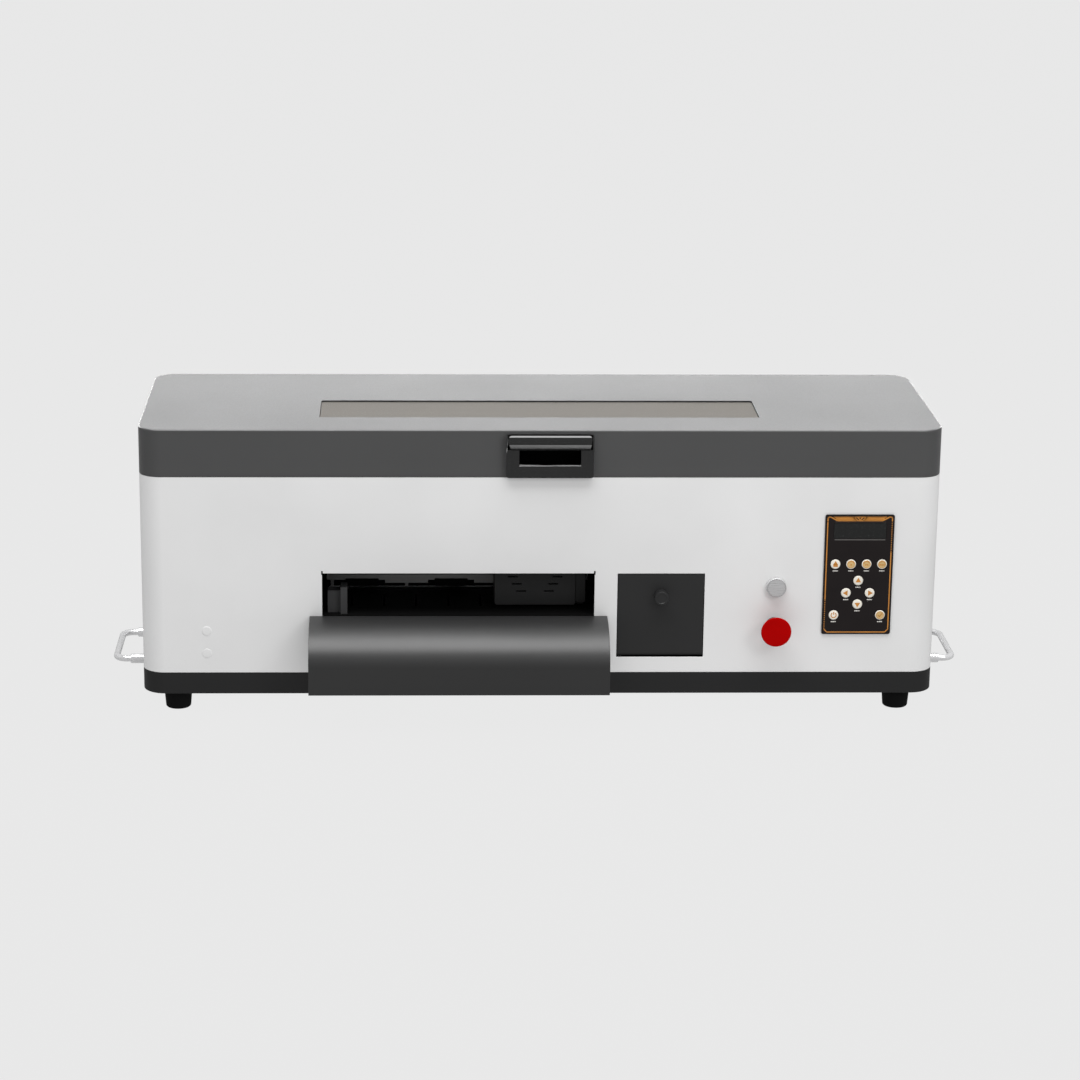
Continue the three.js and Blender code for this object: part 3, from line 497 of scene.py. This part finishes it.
# inks
ORANGE_INK = printed("orange_ink", (0.56, 0.22, 0.028))
WHITE_INK = printed("white_ink", (0.72, 0.7, 0.66))
GREY_INK = printed("grey_ink", (0.1, 0.095, 0.09))
BROWN_INK = printed("brown_ink", (0.035, 0.022, 0.016))
TAN_INK = printed("tan_ink", (0.62, 0.42, 0.17))


# ---- pieces ----


def piece(name, bm, slot, body, nodes=(), looks=(), crease=34):
    """Makes a solid a shown piece that rides on a body and stands for CAD nodes."""
    bm.transform(TO_ROW)
    mesh = bpy.data.meshes.new(name)
    bm.to_mesh(mesh)
    bm.free()
    for look in looks or [LOOKS[slot]]:
        mesh.materials.append(look)
    mesh.shade_smooth()
    mesh.set_sharp_from_angle(angle=math.radians(crease))
    obj = bpy.data.objects.new(name, mesh)
    bpy.context.scene.collection.objects.link(obj)
    normals = obj.modifiers.new("even_normals", "WEIGHTED_NORMAL")
    normals.keep_sharp = True
    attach(obj, body)
    if nodes:
        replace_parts(obj, *nodes)
    return obj


def skin(node):
    """The name of the piece that stands for a CAD node."""
    return node + "_skin"


def stand_for(node, bm, looks=(), crease=34):
    """Makes a solid the shown piece of one CAD node."""
    return piece(skin(node), bm, SLOT_OF[node], BODY_OF[node], [node], looks, crease)


def solid_of(node):
    """A CAD node's own solid, with whole flat sides."""
    bm = bmesh.new()
    bm.from_mesh(frame["nodes"][node].data)
    bm.transform(TO_MACHINE)
    return merged(bm)


def refined(node, width=0.5, segments=2, looks=()):
    """A CAD node with its edges rounded."""
    return stand_for(node, soften(solid_of(node), width, segments), looks)


GAP = 0.3  # between pieces that touch
WALL = 3  # of the casing, tray and lid
CORNER = 28  # the radius of the machine's outline seen from above


def outline(inset):
    """The machine's outline seen from above, moved in by an inset."""
    x0, x1, y0, y1, _, _ = sides("main_casing")
    return rounded(x0 + inset, x1 - inset, y0 + inset, y1 - inset, CORNER - inset, 14)


def paint_inside(bm, depth):
    """Gives the second material, a near-black painted shade, to the faces that lie deeper than depth inside
    the machine's outline.
    """
    x0, x1, y0, y1, _, _ = sides("main_casing")
    for face in bm.faces:
        place = face.calc_center_median()
        inward = min(place.x - x0, x1 - place.x, place.y - y0, y1 - place.y)
        corner_x = max(abs(place.x) - (x1 - CORNER), 0)
        corner_y = max(y0 + CORNER - place.y, place.y - (y1 - CORNER), 0)
        if corner_x > 0 and corner_y > 0:
            inward = CORNER - math.hypot(corner_x, corner_y)
        if inward > depth:
            face.material_index = 1
    return bm


SLOT = {"x0": -267.5, "x1": 66.8, "z0": 122, "z1": 179.8}  # where film comes out
RELIEF = 0.9  # half the width of the bend reliefs at the film slot's upper corners
DOOR_GAP = 0.9
DOOR_PIN = 3.5  # the door's pins stand out this far beyond its plate
LIP = 14  # the width of the casing's top flange inside the wall
BACK_OPENING = {"x0": -430, "x1": 430, "z0": 75, "z1": 285}  # behind the rear panel
BEZEL_HOLE = 8.3
STOP_HOLE = 9.8


def front_hole(x0, x1, z0, z1):
    """A block that goes through the front wall."""
    return block(x0, x1, -1, WALL + 1, z0, z1)


def main_casing():
    """The painted shell, with openings for all that shows at the front and for the rear panel."""
    _, _, _, back, low, top = sides("main_casing")
    door = sides("service_door")
    in_door = DOOR_PIN - DOOR_GAP
    panel = sides("control_panel")
    shell = prism("z", outline(0), low, top)
    inside = prism("z", outline(WALL), low - 1, top - WALL)
    mouth = prism("z", outline(WALL + LIP), low - 1, top + 1)
    x0, x1, z0, z1 = SLOT.values()
    holes = [
        front_hole(x0, x1, z0, z1),
        front_hole(x0 - RELIEF, x0 + RELIEF, z1 - 2, z1 + 3),
        front_hole(x1 - RELIEF, x1 + RELIEF, z1 - 2, z1 + 3),
        front_hole(door[0] + in_door, door[1] - in_door, door[4] - DOOR_GAP, door[5] + DOOR_GAP),
        front_hole(panel[0] + 6, panel[1] - 6, panel[4] + 6.8, panel[5] - 6),
    ]
    x0, x1, z0, z1 = BACK_OPENING.values()
    holes.append(block(x0, x1, back - WALL - 1, back + 1, z0, z1))
    for node, radius in (("power_bezel", BEZEL_HOLE), ("stop_collar", STOP_HOLE)):
        x, _, z = middle(node)
        holes.append(prism("y", circle(x, z, radius), -1, WALL + 1))
    bm = soften(cut(shell, inside, mouth, *holes), 0.6)
    stand_for("main_casing", paint_inside(bm, 1.2), [LOOKS["white_paint"], INSIDE_PAINTED_SHADE])


def base_tray():
    """The dark tray under the casing, with vents below the electronics."""
    _, _, _, _, low, top = sides("base_tray")
    shell = soften(prism("z", outline(0), low, top), 1.6, 4, where=lambda p: p.z < low + 1)
    inside = prism("z", outline(WALL), low + WALL, top + 1)
    vents = [block(x - 3, x + 3, 190, 260, low - 1, low + 4) for x in range(290, 431, 20)]
    stand_for("base_tray", soften(cut(shell, inside, *vents), 0.4))


WINDOW_CORNER = 4


def lid_shell():
    """A shell with a stepped opening that the window lies in, and a pocket behind the latch."""
    _, _, _, _, low, top = sides("lid_shell")
    x0, x1, y0, y1, _, _ = sides("lid_window")
    body = soften(prism("z", outline(0), low, top), 1.8, 5, where=lambda p: p.z > top - 1)
    inside = prism("z", outline(WALL), low - 1, top - WALL)
    rim = block(x0 - 6, x1 + 6, y0 - 6, y1 + 6, top - 8, top - WALL + 0.5)
    seat = prism("z", rounded(x0 - GAP, x1 + GAP, y0 - GAP, y1 + GAP, WINDOW_CORNER), top - 4.5, top + 1)
    sight = prism("z", rounded(x0 + 3, x1 - 3, y0 + 3, y1 - 3, 1.5), top - 9, top + 1)
    left, right, _, _, bottom, _ = sides("latch_housing")
    pocket = front_hole(left + 10, right - 10, bottom + 9, bottom + 41)
    bm = cut(union(cut(body, inside), rim), seat, sight, pocket)
    stand_for("lid_shell", paint_inside(soften(bm, 0.4), 1.2), [LOOKS["lid_plastic"], INSIDE_PAINTED_SHADE])


def lid_window():
    x0, x1, y0, y1, low, top = sides("lid_window")
    sheet = prism("z", rounded(x0, x1, y0, y1, WINDOW_CORNER - GAP), low, top)
    stand_for("lid_window", soften(sheet, 0.3))


def film_guide_plate():
    """A folded sheet: a bend that starts level at the slot, a straight skirt, and a flange on the casing."""
    x0, x1, front, _, z0, z1 = sides("film_guide_plate")
    thick, drop = 2, 44
    turns = [math.radians(3 * i) for i in range(31)]

    def bend(inset):
        out, up = -GAP - front - inset, drop - inset
        return [(-GAP - out * math.sin(a), z1 - drop + up * math.cos(a)) for a in turns]

    outer = [*bend(0), (front, z0)]
    inner = [*bend(thick), (front + thick, z0)]
    sheet = prism("x", outer + inner[::-1], x0, x1)
    flange = block(x0, x1, -thick - GAP, -GAP, z1 - 28, z1 - 0.8)
    stand_for("film_guide_plate", soften(union(sheet, flange), 0.45, 2, 60), crease=40)


def feet():
    """Rubber feet with a rounded toe round a slightly hollow underside."""
    for node in ("foot_front_left", "foot_front_right", "foot_rear_left", "foot_rear_right"):
        x, y, _ = middle(node)
        _, _, _, _, low, top = sides(node)
        under = [(0, low + 0.3), (13.2, low + 0.3), (13.6, low), (14.2, low)]
        toe = arc(13.4, low + 2.2, 2.2, -60, 0, 5)
        body = [(17.2, top - 3.2), (17.2, top), (0, top)]
        stand_for(node, lathe("z", x, y, under + toe + body))


COLLAR_END = 512.8  # how far from the machine's middle the handles' collars reach


def handles():
    """Chrome bows, each with a collar at both ends."""
    for node, side in (("handle_left", -1), ("handle_right", 1)):
        x0, x1, y0, y1, z0, z1 = sides(node)
        z = (z0 + z1) / 2
        radius, collar, bend = 4, 6, 14
        start, reach = min(abs(x0), abs(x1)), max(abs(x0), abs(x1)) - radius
        front, back = y0 + collar, y1 - collar
        near = arc(reach - bend, front + bend, bend, -90, 0, 10)
        far = arc(reach - bend, back - bend, bend, 0, 90, 10)
        path = [(start, front), (start + 12, front), *near, *far, (start + 12, back), (start, back)]
        parts = [tube([(side * x, y, z) for x, y in path], radius)]
        for y in (front, back):
            length = COLLAR_END - start
            rim = [(0, 0), (collar, 0), (collar, length - 1), (collar - 1, length), (0, length)]
            profile = [(r, side * (start + along)) for r, along in rim]
            parts.append(lathe("x", y, z, profile, 40))
        stand_for(node, union(*parts), crease=40)


def door_knob():
    """A round pull with a waist, and a shallow dish in its face."""
    x, _, z = middle("door_knob")
    tip = [(0, -13.1), (6.2, -13.1), (6.6, -13.5), (7.6, -13.5), (8.3, -13.2), (8.6, -12.5)]
    waist = [(8.6, -4.5), (6.5, -3.2), (6.5, -1.8), (8, -1.4), (8, -GAP), (0, -GAP)]
    stand_for("door_knob", lathe("y", x, z, tip + waist), crease=30)


def reach_of(node):
    """A turned piece's radius, and the place of its front."""
    x0, x1, front, _, _, _ = sides(node)
    return (x1 - x0) / 2, front


def power_bezel():
    """A ring with a rounded rim, a well for the button and a barrel through the casing."""
    x, _, z = middle("power_bezel")
    outer, front = reach_of("power_bezel")
    well = outer - 1.4
    lip = [(4.3, -3), (well, -3), (well, front + 0.5), (well + 0.35, front), (well + 0.75, front)]
    rim = arc(outer - 0.9, front + 0.9, 0.9, -80, 0, 6)
    barrel = [(outer, -GAP), (7.9, -GAP), (7.9, 22), (4.3, 22)]
    stand_for("power_bezel", lathe("y", x, z, lip + rim + barrel, 72))


def power_button():
    """A flat cap with a softened edge, on a stem."""
    x, _, z = middle("power_bezel")
    outer, front = reach_of("power_button")
    edge = [(outer - 0.8, front), (outer - 0.3, front + 0.15), (outer, front + 0.6), (outer, front + 2)]
    stem = [(4, front + 2), (4, 12), (0, 12)]
    stand_for("power_button", lathe("y", x, z, [(0, front), *edge, *stem], 72))


def stop_collar():
    """A sleeve round the stem, a narrow flange on the casing and a barrel through it."""
    x, _, z = middle("stop_collar")
    bore = [(0, 20), (5.4, 20), (5.4, -10)]
    sleeve = [(9, -10), (9.5, -9.7), (9.8, -9), (9.8, -2), (10, -2), (10.3, -1.7), (10.3, -GAP)]
    barrel = [(9.4, -GAP), (9.4, 40), (0, 40)]
    stand_for("stop_collar", lathe("y", x, z, bore + sleeve + barrel, 72))


def stop_head():
    """A red mushroom head that widens to its rim."""
    x, _, z = middle("stop_collar")
    bore = [(0, -22.4), (5.3, -22.4), (5.3, -16)]
    rim = [(13.8, -16), (17.8, -26.4), (18.4, -27.5), (18.6, -28.2), (18.55, -28.8), (18.2, -29.3)]
    crown = [(17.6, -29.6), (14, -29.65), (0, -29.7)]
    stand_for("stop_head", lathe("y", x, z, bore + rim + crown, 96), crease=50)


# ---- control panel ----

KEYS = [node for node in BODY_OF if node.startswith("key_")]
KEY_RADIUS = 6
ARROWS = {"key_up": 0, "key_left": 90, "key_down": 180, "key_right": 270}  # turns, in degrees
TAN_KEYS = ["key_one", "key_two", "key_three", "key_confirm"]


def inlay(points, y, proud=0.05):
    """A flat shape in the front plane, a little proud of y."""
    return prism("y", points, y - proud, y + 0.4)


def bar(x0, z0, x1, z1, width):
    """A straight stroke as an outline."""
    along = Vector((x1 - x0, z1 - z0)).normalized()
    side = Vector((-along.y, along.x)) * width / 2
    ends = [Vector((x0, z0)), Vector((x1, z1))]
    return [tuple(p) for p in (ends[0] - side, ends[1] - side, ends[1] + side, ends[0] + side)]


def ring(x, z, outer, inner, start=0, end=360):
    """An arc stroke, or a whole ring as two half strokes."""
    if end - start >= 360:
        halves = ((start, start + 180), (start + 180, start + 360))
        return [stroke for half in halves for stroke in ring(x, z, outer, inner, *half)]
    return [arc(x, z, outer, start, end, 14) + arc(x, z, inner, end, start, 14)]


def triangle(x, z, size, turn):
    """An even triangle that points up, or is turned by some degrees."""
    corners = [math.radians(turn + a) for a in (90, 210, 330)]
    return [(x + size * math.cos(a), z + size * math.sin(a)) for a in corners]


def icon(node, x, z):
    """The printed sign on a key, as outlines."""
    if node in ARROWS:
        return [triangle(x, z, 3.9, ARROWS[node])]
    if node == "key_standby":
        return [*ring(x, z, 3.7, 2.6, 125, 415), bar(x, z + 0.6, x, z + 4.1, 1.1)]
    if node == "key_confirm":
        return [bar(x - 2.4, z + 0.2, x - 0.5, z - 2, 1.2), bar(x - 0.8, z - 2, x + 2.6, z + 2.3, 1.2)]
    if node == "key_menu":
        return [rectangle(x - 2.8, x + 2.8, z - 3.2, z + 0.4), triangle(x, z + 1.4, 3, 0)]
    count = TAN_KEYS.index(node) + 1
    spacing = 2.3
    left = x - spacing * (count - 1) / 2
    dots = [circle(left + spacing * i, z - 0.6, 1, 12) for i in range(count)]
    return [*ring(x, z, 3.9, 3.2, 20, 160), *dots]


def in_material(index, parts):
    """Solids joined to one layer of a piece, in one of its materials."""
    layer = together(*parts)
    for face in layer.faces:
        face.material_index = index
    return layer


def keys():
    """Round caps with a low crown, each with its sign printed on it."""
    sunk = 0.08  # how far the middle of the crown lies behind the front of its sign
    for node in KEYS:
        x, _, z = middle(node)
        _, _, front, back, _, _ = sides(node)
        crown = front + sunk
        face = [(0, crown), (3.4, crown + 0.04), (4.6, crown + 0.1), (5.3, crown + 0.3), (5.8, crown + 0.6)]
        cap = lathe("y", x, z, [*face, (KEY_RADIUS, crown + 1), (KEY_RADIUS, back), (0, back)], 48)
        layers = [cap]
        if node in TAN_KEYS:
            layers.append(in_material(1, [inlay(circle(x, z, 4.9), crown, sunk / 2)]))
            rim = [inlay(points, crown, sunk * 0.7) for points in ring(x, z, 4.9, 4.4)]
            layers.append(in_material(2, rim))
        sign = [inlay(points, crown, sunk) for points in icon(node, x, z)]
        layers.append(in_material(2, sign))
        stand_for(node, together(*layers), [LOOKS["key_cream"], TAN_INK, ORANGE_INK])


def frame_line(x0, x1, z0, z1):
    """The printed border: an upright each side with a chamfered foot, one part of each in short dashes."""
    wide, chamfer, head = 1.3, 3.6, 6.5
    dashed = 0.26 * (z1 - z0)
    dashes = 14
    step = dashed / dashes
    strokes = [bar(x0 + chamfer, z0, x1 - chamfer, z0, wide)]
    strokes.append(bar(x0, z0 + chamfer, x0 + chamfer, z0, wide))
    strokes.append(bar(x1, z0 + chamfer, x1 - chamfer, z0, wide))
    strokes.append(bar(x0, z0 + chamfer + dashed, x0, z1 - head, wide))
    strokes.append(bar(x1, z0 + chamfer, x1, z1 - head - dashed, wide))
    for x, start in ((x0, z0 + chamfer), (x1, z1 - head - dashed)):
        for i in range(dashes):
            low = start + (i + 0.25) * step
            strokes.append(bar(x, low, x, low + step * 0.5, wide * 0.75))
    return strokes


def top_band(x0, x1, z0, z1):
    """A hatched strip that narrows downwards between two hooked ends, with a chevron in its middle."""
    centre, lean, hook = (x0 + x1) / 2, z1 - z0, 4
    left, right = x0 + hook + 3, x1 - hook - 3
    strokes = [bar(left, z1, right, z1, 0.9), bar(left + lean, z0, right - lean, z0, 1.2)]
    for side, x in ((1, x0), (-1, x1)):
        strokes.append(bar(x, z1 - 5.5, x, z1 - 1, 1.3))
        strokes.append(bar(x - side * 0.3, z1 - 1.5, x + side * 1.6, z1 + 0.2, 1.3))
        strokes.append(bar(x + side * 1.2, z1, x + side * hook, z1, 1.3))
        strokes.append(bar(x + side * (hook - 0.5), z1, x + side * (hook + 3 + lean), z0 + 0.2, 1.5))
    pitch, clear = 1.4, 8.5
    for i in range(int((centre - clear - left) / pitch)):
        for side in (-1, 1):
            x = centre + side * (clear + i * pitch)
            strokes.append(bar(x, z1, x - side * lean * 0.8, z0 + 0.3, 0.95))
    for side in (-1, 1):
        strokes.append(bar(centre + side * 8.2, z1 - 0.3, centre + side * 3.6, z0 + 0.3, 2.4))
        strokes.append(bar(centre + side * 3.2, z1 - 0.3, centre + side * 0.3, z0 + 1.2, 1.5))
    return strokes


def ink(name, strokes, look):
    """Flat shapes printed on the panel, as a piece of their own."""
    front = sides("control_panel")[2]
    layer = together(*(inlay(points, front) for points in strokes))
    piece(name, layer, "panel_film", "printer_body", looks=[look])


def panel_border():
    """The orange frame, and the band along its top."""
    x0, x1, _, _, z0, z1 = sides("control_panel")
    x0, x1, z1 = x0 + 3, x1 - 3, z1 - 3
    strokes = frame_line(x0, x1, z0 + 2.8, z1) + top_band(x0, x1, z1 - 4.6, z1)
    ink("panel_border", strokes, ORANGE_INK)


def key_marks():
    """The small print under each key, as plain marks with no letters."""
    marks = []
    for node in KEYS:
        x, _, z = middle(node)
        top = z - KEY_RADIUS - 1.9
        for left, right in ((-3.1, -1.7), (-1.3, 0.5), (0.9, 1.9), (2.3, 3.1)):
            marks.append(rectangle(x + left, x + right, top - 1.3, top))
    ink("key_marks", marks, WHITE_INK)


def screen_lines():
    """The lines that are printed below and above the screen."""
    x0, x1, _, _, z0, z1 = sides("screen_window")
    x0, x1 = x0 + 1, x1 - 1
    ink("screen_underline", [bar(x0, z0 - 1.6, x1, z0 - 1.6, 1.3)], GREY_INK)
    ink("screen_overline", [bar(x0, z1 + 1.7, x1, z1 + 1.7, 0.9)], BROWN_INK)


# ---- latch ----


def latch_housing():
    """A glossy housing with a finger recess coloured near-black as painted shade, and a sloping sill edge
    coloured pale as a painted highlight.
    """
    x0, x1, _, _, bottom, _ = sides("latch_housing")
    left, right = x0 + 15.5, x1 - 15.5
    sill = bottom + 16
    step = block(left - 1, right + 1, -7, -1, bottom + 13, sill)
    slope = [(-8, sill - 2.4), (-8, sill + 1), (-5.2, sill + 1)]
    housing = cut(union(solid_of("latch_housing"), step), prism("x", slope, left, right))
    for face in soften(housing, 0.3, 2).faces:
        place = face.calc_center_median()
        on_slope = 0.3 < face.normal.z < 0.9 and abs(place.z - sill) < 2
        in_recess = place.z > sill + 0.5 and place.y > -2.5
        # faces on the sill's slope get a pale painted highlight; other faces in the recess and behind get a
        # near-black painted shade
        if left + 1 < place.x < right - 1 and on_slope:
            face.material_index = 2
        elif place.y > -0.2 or (left - 1 < place.x < right + 1 and in_recess):
            face.material_index = 1
    stand_for("latch_housing", housing, [LOOKS["latch_gloss"], HOLLOW_PAINTED_SHADE, LATCH_PAINTED_HIGHLIGHT])


def latch_lever():
    """A bar with a lip along its lower edge, which turns on the housing's pins."""
    x0, x1, front, _, z0, z1 = sides("latch_lever")
    face = front + 4.2
    behind = [(-2.9, z0 + 1), (-2.9, z1 - 6.2), (-4.6, z1 - 1), (-6, z1)]
    brow = [(face + 2.5, z1), (face + 1.9, z1 - 0.2), (face + 0.4, z1 - 1.6), (face, z1 - 2.3)]
    lip = [(face, z1 - 9.8), (face - 0.9, z1 - 10.7), (front + 0.4, z1 - 14.4)]
    nose = [(front, z1 - 15.2), (front + 0.4, z0 + 1), (front + 1.6, z0)]
    profile = prism("x", behind + brow + lip + nose, x0, x1)
    shoulders = [(x1, face + 1), (x1, 0), (x0, 0), (x0, face + 1)]
    from_above = prism("z", [(x0 + 3, front), (x1 - 3, front), *shoulders], z0, z1)
    from_front = prism("y", rounded(x0, x1, z0, z1, 4.5), front - 1, 0)
    bores = [prism("x", circle(-6, z1 - 6, 1.85, 20), x - 1, x + 4.2) for x in (x0, x1 - 3.2)]
    lever = cut(combine("INTERSECT", profile, [from_front, from_above]), *bores)
    for side in soften(lever, 0.5, 3, 50).faces:
        if side.calc_center_median().z < z1 - 9.8:
            side.material_index = 1
    stand_for("latch_lever", lever, [LOOKS["latch_gloss"], LATCH_LIP], crease=40)


# ---- screws and plugs ----


def screw(x, z, face, radius):
    """A pan head with a cross recess, standing out of a rear face."""
    rim = [(radius, 0), (radius, 0.9), (radius * 0.8, 1.7), (radius * 0.45, 2.1), (0, 2.15)]
    head = lathe("y", x, z, [(0, 0), *rim], 28)
    long, wide = radius * 0.62, radius * 0.16
    across = prism("y", rectangle(x - long, x + long, z - wide, z + wide), 0.9, 3)
    upright = prism("y", rectangle(x - wide, x + wide, z - long, z + long), 0.9, 3)
    bm = cut(head, across, upright)
    bmesh.ops.translate(bm, verts=bm.verts, vec=(0, face, 0))
    return bm


def screws():
    """Two rows of screws in the rear panel, and two screws in each half of each hinge."""
    back = sides("rear_panel")[3]
    panel = [screw(x, z, back, 3) for x in (-395, -150, 150, 395) for z in (85, 275)]
    piece("rear_screws", together(*panel), "zinc_steel", "printer_body")
    _, _, leaf, _, _, top = sides("hinge_leaf_left")
    leaf_back = leaf + 2
    rows = (("lid", "lid_hinge_screws", top - 8), ("printer_body", "casing_hinge_screws", 272))
    for body, name, z in rows:
        parts = [screw(x + dx, z, leaf_back, 2.6) for x in (-330, 330) for dx in (-16, 16)]
        piece(name, together(*parts), "zinc_steel", body)


def plugs():
    """Two small round plugs, one above the other, low on the front at the left."""
    cap = [(0, -0.45), (4.9, -0.45), (5.7, -0.3), (6.2, 0.1), (0, 0.1)]
    x, heights = -409.5, (106.2, 77.5)
    parts = [lathe("y", x, z, cap, 48) for z in heights]
    piece("front_plugs", together(*parts), "white_paint", "printer_body")


# ---- mechanism ----


def platen():
    """The fixed bed that film runs over, with paler edge guides standing on it."""
    bed = soften(solid_of("platen"), 0.4)
    table = sides("feed_roller")[5]
    for face in bed.faces:
        if face.calc_center_median().z > table + 0.5:
            face.material_index = 1
    stand_for("platen", bed, [PLATEN_BLACK_AND_SHADE, EDGE_GUIDE])


def all_the_rest():
    """Every CAD node that has no piece yet, with its edges rounded."""
    done = {name for obj in bpy.data.objects for name in obj.get("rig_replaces", [])}
    for node in BODY_OF:
        if node not in done:
            refined(node, 0.4)


main_casing()
base_tray()
lid_shell()
lid_window()
film_guide_plate()
feet()
handles()
refined("service_door", 0.45, 3, [DOOR_PAINT])
door_knob()
power_bezel()
power_button()
stop_collar()
refined("stop_stem", 0.3)
stop_head()
keys()
refined("control_panel", 0.25)
panel_border()
key_marks()
refined("screen_window", 0.25)
screen_lines()
latch_housing()
latch_lever()
screws()
plugs()
platen()
refined("pinch_beam", 0.4, looks=[STRIP_GREY])
all_the_rest()


# ---- floor, light and camera ----

BACKGROUND = 0.803  # how bright the floor and what lies beyond it look
REFLECTED = 0.36  # how bright the floor is in glossy reflections
AMBIENT = 0.4  # how bright the world is as a light


def floor():
    """A pale floor that glows evenly, so that it has no shadow and no edge."""
    bm = bmesh.new()
    bmesh.ops.create_grid(bm, x_segments=1, y_segments=1, size=60)
    mesh = bpy.data.meshes.new("floor")
    bm.to_mesh(mesh)
    bm.free()
    obj = bpy.data.objects.new("floor", mesh)
    bpy.context.scene.collection.objects.link(obj)
    look = Look("floor", Roughness=1.0, Specular_IOR_Level=0.0, Emission_Color=(1, 1, 1, 1))
    look.surface.inputs["Base Color"].default_value = (0.004, 0.004, 0.004, 1)
    glossy = look.add("ShaderNodeLightPath", {}).outputs["Is Glossy Ray"]
    glow = look.span(glossy, BACKGROUND, REFLECTED, 0, 1)
    look.links.new(glow, look.surface.inputs["Emission Strength"])
    mesh.materials.append(look.material)


def softbox(name, place, target, size, power):
    """A rectangular light that the camera doesn't see."""
    light = bpy.data.lights.new(name, "AREA")
    light.shape = "RECTANGLE"
    light.size, light.size_y = size
    light.energy = power
    obj = bpy.data.objects.new(name, light)
    obj.location = place
    obj.rotation_euler = (Vector(target) - Vector(place)).to_track_quat("-Z", "Y").to_euler()
    obj.visible_camera = False
    bpy.context.scene.collection.objects.link(obj)
    return obj


def world():
    """An even grey light, which looks as pale as the floor beyond the floor's edge."""
    sky = bpy.data.worlds.new("studio")
    sky.use_nodes = True
    nodes, links = sky.node_tree.nodes, sky.node_tree.links
    seen = nodes.new("ShaderNodeLightPath").outputs["Is Camera Ray"]
    tone = nodes.new("ShaderNodeMapRange")
    tone.inputs["To Min"].default_value = AMBIENT
    tone.inputs["To Max"].default_value = BACKGROUND
    links.new(seen, tone.inputs["Value"])
    links.new(tone.outputs[0], nodes["Background"].inputs["Color"])
    bpy.context.scene.world = sky


def lights():
    """A key light, a wide one overhead, and one behind that only gives the lid's top its sheen."""
    softbox("key", (1.6, -2.3, 1.65), (0, 0, 0.15), (1.0, 1.0), 16)
    softbox("overhead", (0, -0.35, 2.4), (0, -0.35, 0.3), (2.6, 2.0), 100)
    behind = softbox("behind", (0, 3.4, 1.25), (0, 0, 0.3), (5.0, 0.7), 222)
    lit = bpy.data.collections.new("lit_from_behind")
    for node in ("lid_shell", "lid_window"):
        lit.objects.link(bpy.data.objects[skin(node)])
    behind.light_linking.receiver_collection = lit


def camera():
    """The photo's viewpoint, a little left of the middle, turned and shifted to centre the machine."""
    data = bpy.data.cameras.new("camera")
    data.lens = 102.42
    data.sensor_width = 36
    data.shift_x = 0.05
    data.clip_end = 200
    obj = bpy.data.objects.new("camera", data)
    obj.location = (-0.1626, -3.73415, 1.2409)
    tilt = Matrix.Rotation(math.radians(74.25), 3, "X")
    turn = Matrix.Rotation(math.radians(-1.46), 3, "Y")
    obj.rotation_euler = (tilt @ turn).to_euler()
    bpy.context.scene.collection.objects.link(obj)
    bpy.context.scene.camera = obj


floor()
world()
lights()
camera()
bpy.context.scene.view_settings.view_transform = "Standard"
